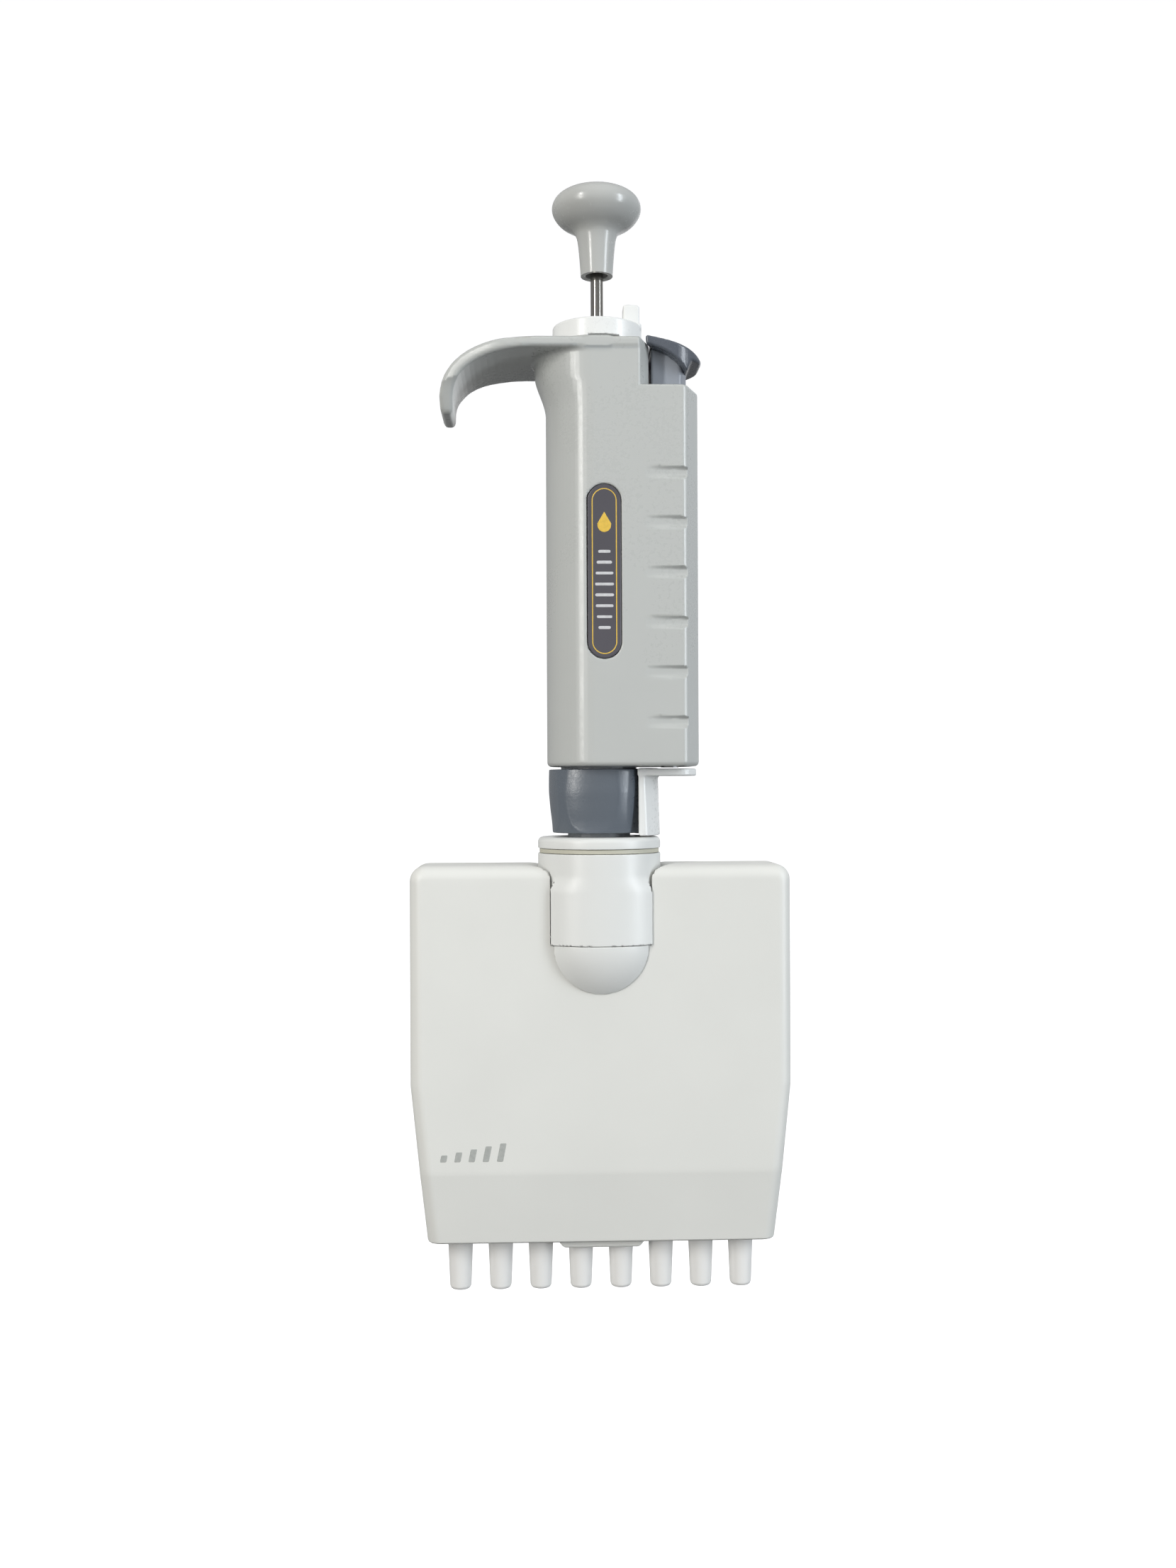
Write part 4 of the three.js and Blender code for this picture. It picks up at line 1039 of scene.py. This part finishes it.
def cover_field(x, y, z):
    """Both covers together: a hollow shell with a round well for the sleeve."""
    face = face_y(z)
    outer = both(elevation(x, z), np.abs(y) - face, EDGE_R)
    outer = both(outer, COVER_LOW - z, 0.45)
    inner = np.maximum(elevation(x, z) + COVER_WALL, np.abs(y) - face + COVER_WALL)
    lining = np.maximum(around(x, y) - WELL_R - COVER_WALL, nose_low - WELL_DROP - COVER_WALL - z)
    inner = np.maximum(inner, -np.maximum(lining, LINING_Y - np.abs(y)))
    shape = without(outer, inner, 0.25)
    lift = np.clip((z - COVER_TOP + FLARE_R) / FLARE_R, 0, 1)
    mouth = WELL_R + FLARE_R * (1 - np.sqrt(1 - np.minimum(lift, 0.999) ** 2))
    well = np.maximum(around(x, y) - mouth, nose_low - WELL_DROP - z)
    return without(shape, well, 0.3)


def front_cover_field(x, y, z):
    return both(cover_field(x, y, z), y - front_high[1], 0.12)


def rear_cover_field(x, y, z):
    shape = both(cover_field(x, y, z), rear_low[1] - y, 0.12)
    for low, high in screws:
        r = around(x, z, (low[0] + high[0]) / 2, (low[2] + high[2]) / 2)
        sink = np.maximum(r - SINK_R, HALF_D - SINK_DEPTH - y)
        shape = without(shape, np.minimum(sink, np.maximum(r - SCREW_HOLE_R, 4 - y)), 0.2)
    return shape


piece(
    "front_cover", skin(front_cover_field, front_low, front_high, 0.62),
    "manifold", "manifold_plastic", MANIFOLD, "manifold_front_cover",
)
piece(
    "rear_cover", skin(rear_cover_field, rear_low, rear_high, 0.62),
    "manifold", "manifold_plastic", MANIFOLD, "manifold_rear_cover",
)
for number, (low, high) in enumerate(screws, 1):
    cx, cz = (low[0] + high[0]) / 2, (low[2] + high[2]) / 2

    def screw_field(x, y, z, cx=cx, cz=cz, low=low, high=high):
        r = around(x, z, cx, cz)
        head = both(r - (high[0] - low[0]) / 2, slab(y, high[1] - 0.8, high[1]), 0.25)
        shank = both(r - SHANK_R, slab(y, low[1], high[1] - 0.4), 0.2)
        cross = np.minimum(
            both(np.abs(x - cx) - CROSS_HALF_W, np.abs(z - cz) - CROSS_HALF_L, 0.1),
            both(np.abs(z - cz) - CROSS_HALF_W, np.abs(x - cx) - CROSS_HALF_L, 0.1),
        )
        return without(either(head, shank, 0.1), np.maximum(cross, high[1] - 0.5 - y), 0.06)

    piece(
        f"screw_{number}", skin(screw_field, low, high, 0.14), "manifold", "steel", TURNED_STEEL,
        f"cover_screw_{number}",
    )

# a plain five-bar volume mark, printed low on the front cover
MARK_X, MARK_Z, MARK_PITCH, MARK_BARS, MARK_HALF_W = -34.8, 30.3, 3.1, 5, 0.72
mark_front, mark_back = front_low[1] - 0.03, front_low[1] + 0.12


def mark_field(x, y, z):
    lean = x - 0.2 * (z - MARK_Z)
    row = np.clip(np.round((lean - MARK_X) / MARK_PITCH), 0, MARK_BARS - 1)
    height = 1.6 + 0.62 * row
    across = np.abs(lean - MARK_X - MARK_PITCH * row) - MARK_HALF_W
    bar = both(across, slab(z, MARK_Z, MARK_Z + height), 0.25)
    return both(bar, slab(y, mark_front, mark_back), 0.02)


piece(
    "volume_mark",
    skin(mark_field, (MARK_X - 1.5, mark_front, MARK_Z), (MARK_X + 15, mark_back, MARK_Z + 5), 0.13),
    "manifold", "manifold_plastic", GREY_INK,
)

# ---- ejector sleeve and its domed noses ---------------------------------------------

sleeve_low, sleeve_high = box_mm("ejector_sleeve")
RING_LOW = 82.8
LUG_SPREAD, LUG_FADE, LUG_HIGH = 1.14, 89.0, 93.0
CAD_SEAM, SEAM_GAP = 0.2, 0.07
NOSE_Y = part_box("sleeve_nose_rear")[0][1] / MM - 0.2
NOSE_SPREAD, NOSE_DROP = 1.05, 1.075


def sleeve_field(x, y, z):
    """A ring with a lug in front and one behind, which widen downwards."""
    r = around(x, y)
    ring = both(np.maximum(r - SLEEVE_R, BORE_R - r), slab(z, RING_LOW, sleeve_high[2]), 0.12)
    spread = 1 + (LUG_SPREAD - 1) * (1 - step_up((z - LUG_FADE) / (LUG_HIGH - LUG_FADE)))
    wide = around(x / spread, y) - SLEEVE_R
    height = slab(z, sleeve_low[2] - CAD_SEAM + SEAM_GAP, LUG_HIGH)
    lug = both(np.maximum(wide, NOSE_Y - np.abs(y)), height, 0.12)
    return np.minimum(ring, lug)


piece(
    "ejector_neck", skin(sleeve_field, sleeve_low, sleeve_high, 0.4),
    "sleeve", "manifold_plastic", NECK, "ejector_sleeve",
)
for side, node in ((-1, "sleeve_nose_front"), (1, "sleeve_nose_rear")):
    low, high = box_mm(node)

    def nose_field(x, y, z, side=side, high=high):
        ball = np.sqrt((x / NOSE_SPREAD) ** 2 + y * y + ((z - high[2]) / NOSE_DROP) ** 2) - SLEEVE_R
        shape = both(ball, z - high[2], 0.12)
        return both(shape, NOSE_Y - side * y, 0.12)

    piece(
        node.replace("sleeve_nose", "dome"), skin(nose_field, low, high, 0.3),
        "sleeve", "manifold_plastic", NECK, node,
    )

# ---- springs: a wound coil in the box of each node that a joint deforms -------------

WIRES = {  # wire radius and turns
    "plunger_spring": (0.4, 7), "ejector_spring": (0.4, 6), "sleeve_spring": (0.45, 3),
    "piston_spring_left": (0.3, 6), "piston_spring_right": (0.3, 6),
}


def coil(node):
    """A wound wire in the CAD node's box, standing on its fixed end."""
    low, high = box_mm(node)
    wire, turns = WIRES[node]
    x0, y0 = (low[0] + high[0]) / 2, (low[1] + high[1]) / 2
    mean = (high[0] - low[0]) / 2 - wire
    steps, sides = 28 * turns, 10
    spots, faces = [], []
    for k in range(steps + 1):
        a = k / steps * turns * math.tau
        z = low[2] + wire + k / steps * (high[2] - low[2] - 2 * wire)
        for j in range(sides):
            b = j / sides * math.tau
            r = mean + wire * math.cos(b)
            spots.append((x0 + r * math.cos(a), y0 + r * math.sin(a), z + wire * math.sin(b)))
    for k in range(steps):
        p, q = k * sides, (k + 1) * sides
        for j in range(sides):
            n = (j + 1) % sides
            faces.append([p + j, q + j, q + n, p + n])
    faces += [list(range(sides)), [steps * sides + j for j in reversed(range(sides))]]
    body = frame["nodes"][node]["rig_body"]
    o = piece("coil_" + node, mesh_of(spots, faces), body, "spring_steel", SPRING, node)
    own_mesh(o)


for motion in frame["record"]["behaviour"]["joints"]:
    for bent in motion.get("deforming_nodes", ()):
        coil(bent["node"])

# ---- ejector comb and tip cones -----------------------------------------------------

comb_low, comb_high = box_mm("ejector_comb")
cones = [f"tip_cone_{i + 1}" for i in range(CHANNELS)]
cone_x = [sum(v[0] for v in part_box(n)) / 2 / MM for n in cones]
CONE_TOP_R = (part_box(cones[0])[1][0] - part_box(cones[0])[0][0]) / 2 / MM
CONE_GAP = 0.3
LIP_HALF, LIP_SLANT, LIP_DROP = 8.4, 0.85, 1.9
TIP_BORE_R, TIP_BORE_TOP, CONE_BORE_R = 0.6, 10, 1.05


def comb_field(x, y, z):
    """A plate round the cones, with a lip under its middle."""
    plate = np.maximum(np.abs(x) - comb_high[0], np.abs(y) - comb_high[1])
    bar = both(plate, slab(z, comb_low[2] + LIP_DROP, comb_high[2]), 0.15)
    ends = np.abs(x) - LIP_HALF - LIP_SLANT * (z - comb_low[2])
    lip_plan = both(ends, np.abs(y) - comb_high[1], 0.3)
    lip = both(lip_plan, slab(z, comb_low[2], comb_low[2] + LIP_DROP + 0.2), 0.5)
    shape = np.minimum(bar, lip)
    pitch = cone_x[1] - cone_x[0]
    nearest = np.clip(np.round((x - cone_x[0]) / pitch), 0, CHANNELS - 1) * pitch + cone_x[0]
    return without(shape, np.sqrt((x - nearest) ** 2 + y * y) - CONE_TOP_R - CONE_GAP, 0.12)


piece(
    "tip_comb", skin(comb_field, comb_low, comb_high, 0.36),
    "sleeve", "manifold_plastic", MANIFOLD, "ejector_comb",
)

for i, node in enumerate(cones):
    low, high = box_mm(node)
    profile = [
        (TIP_BORE_R, 0), (2.05, 0), (2.39, 0.6), (CONE_TOP_R, 12), (CONE_TOP_R, high[2]),
        (CONE_BORE_R, high[2]), (CONE_BORE_R, TIP_BORE_TOP), (TIP_BORE_R, TIP_BORE_TOP),
    ]
    piece(
        f"nozzle_{i + 1}", turned(profile, [0.1, 0.45, 0.9, 0, 0.1, 0.1, 0, 0], 48, cone_x[i]), "manifold",
        "cone_plastic", CONE, node,
    )

# ---- finishes of the CAD pieces that stay -------------------------------------------

FINISH_OF_SLOT = {
    "handle_plastic": HANDLE,
    "manifold_plastic": MANIFOLD,
    "knob_plastic": KNOB,
    "dark_plastic": DARK,
    "white_plastic": WHITE,
    "cone_plastic": CONE,
    "inner_plastic": INNER,
    # painted groove shade
    "band_plastic": GROOVE_SHADE_BAND,
    "steel": TURNED_STEEL,
    "spring_steel": SPRING,
    "badge": BADGE,
    "gasket_rubber": RUBBER,
    "lens": LENS,
}
for entry in frame["record"]["subparts"]:
    o = frame["nodes"][entry["node"]]
    finish = FINISH_OF_SLOT[entry["material_slot"]]
    if not o.material_slots:
        o.data.materials.append(finish)
    for held in o.material_slots:
        held.material = finish

# ---- floor, backdrop and light ------------------------------------------------------


def stage_material():
    n = Nodes("pale paper")
    fibre = n.noise(900, 4)
    paper = n.blend(n.span(fibre, 0.3, 0.7, 0, 1), (0.93, 0.93, 0.93), (0.95, 0.95, 0.95))
    n.link(paper, n.shader.inputs["Base Color"])
    n.link(n.span(fibre, 0.3, 0.7, 0.85, 0.95), n.shader.inputs["Roughness"])
    n.bump(fibre, 0.05, 0.00005)
    n.set(Emission_Color=(1, 1, 1, 1), Emission_Strength=0.6)
    return n.material


def backdrop():
    """A round sweep of paper: flat under the object, then curving up all round it."""
    floor, reach, bend, height = -0.075, 1.7, 0.5, 2.2
    profile = [(0.0, floor), (reach - bend, floor)]
    for k in range(1, 13):
        a = math.pi / 2 * k / 12
        profile.append((reach - bend + bend * math.sin(a), floor + bend * (1 - math.cos(a))))
    profile.append((reach, height))
    mesh = turned([(r / MM, z / MM) for r, z in profile], 0, 64, closed=False)
    mesh.name = "paper_sweep"
    mesh.materials.append(stage_material())
    o = bpy.data.objects.new("paper_sweep", mesh)
    scene.collection.objects.link(o)
    o.visible_diffuse = False
    o.visible_glossy = False
    o.visible_transmission = False
    o.visible_shadow = False


def softbox(name, place, target, width, height, power, colour):
    data = bpy.data.lights.new(name, "AREA")
    data.shape = "RECTANGLE"
    data.size, data.size_y = width, height
    data.energy = power
    data.color = colour
    o = bpy.data.objects.new(name, data)
    scene.collection.objects.link(o)
    o.location = place
    o.rotation_mode = "QUATERNION"
    o.rotation_quaternion = (Vector(target) - Vector(place)).to_track_quat("-Z", "Y")


backdrop()
middle = (0, 0, 0.13)
softbox("overhead", (0.05, -0.25, 1.0), middle, 0.9, 0.9, 1.0, (1.0, 0.99, 0.97))
softbox("left strip", (-0.61, -0.67, 0.38), (0, 0, 0.16), 0.05, 0.7, 5.8, (1.0, 0.985, 0.95))
softbox("right fill", (0.85, -0.5, 0.3), middle, 0.2, 0.8, 6.8, (0.88, 0.94, 1.0))
softbox("front fill", (-0.2, -1.3, 0.4), middle, 1.2, 0.9, 0.85, (1.0, 1.0, 1.0))
softbox("rear fill", (0.3, 1.3, 0.5), middle, 1.0, 0.9, 1.6, (1.0, 1.0, 1.0))


def studio_world():
    """Bright above, pale round the horizon and dim below."""
    world = bpy.data.worlds.new("studio")
    scene.world = world
    world.use_nodes = True
    tree = world.node_tree
    where = tree.nodes.new("ShaderNodeTexCoord")
    split = tree.nodes.new("ShaderNodeSeparateXYZ")
    ramp = tree.nodes.new("ShaderNodeMapRange")
    ramp.inputs["From Min"].default_value = -0.6
    ramp.inputs["From Max"].default_value = 0.5
    ramp.inputs["To Min"].default_value = 0.12
    ramp.inputs["To Max"].default_value = 0.47
    tree.links.new(where.outputs["Generated"], split.inputs[0])
    tree.links.new(split.outputs["Z"], ramp.inputs["Value"])
    background = tree.nodes["Background"]
    background.inputs["Color"].default_value = (0.97, 0.98, 1.0, 1)
    tree.links.new(ramp.outputs[0], background.inputs["Strength"])


studio_world()
scene.view_settings.view_transform = "Standard"
scene.view_settings.look = "None"
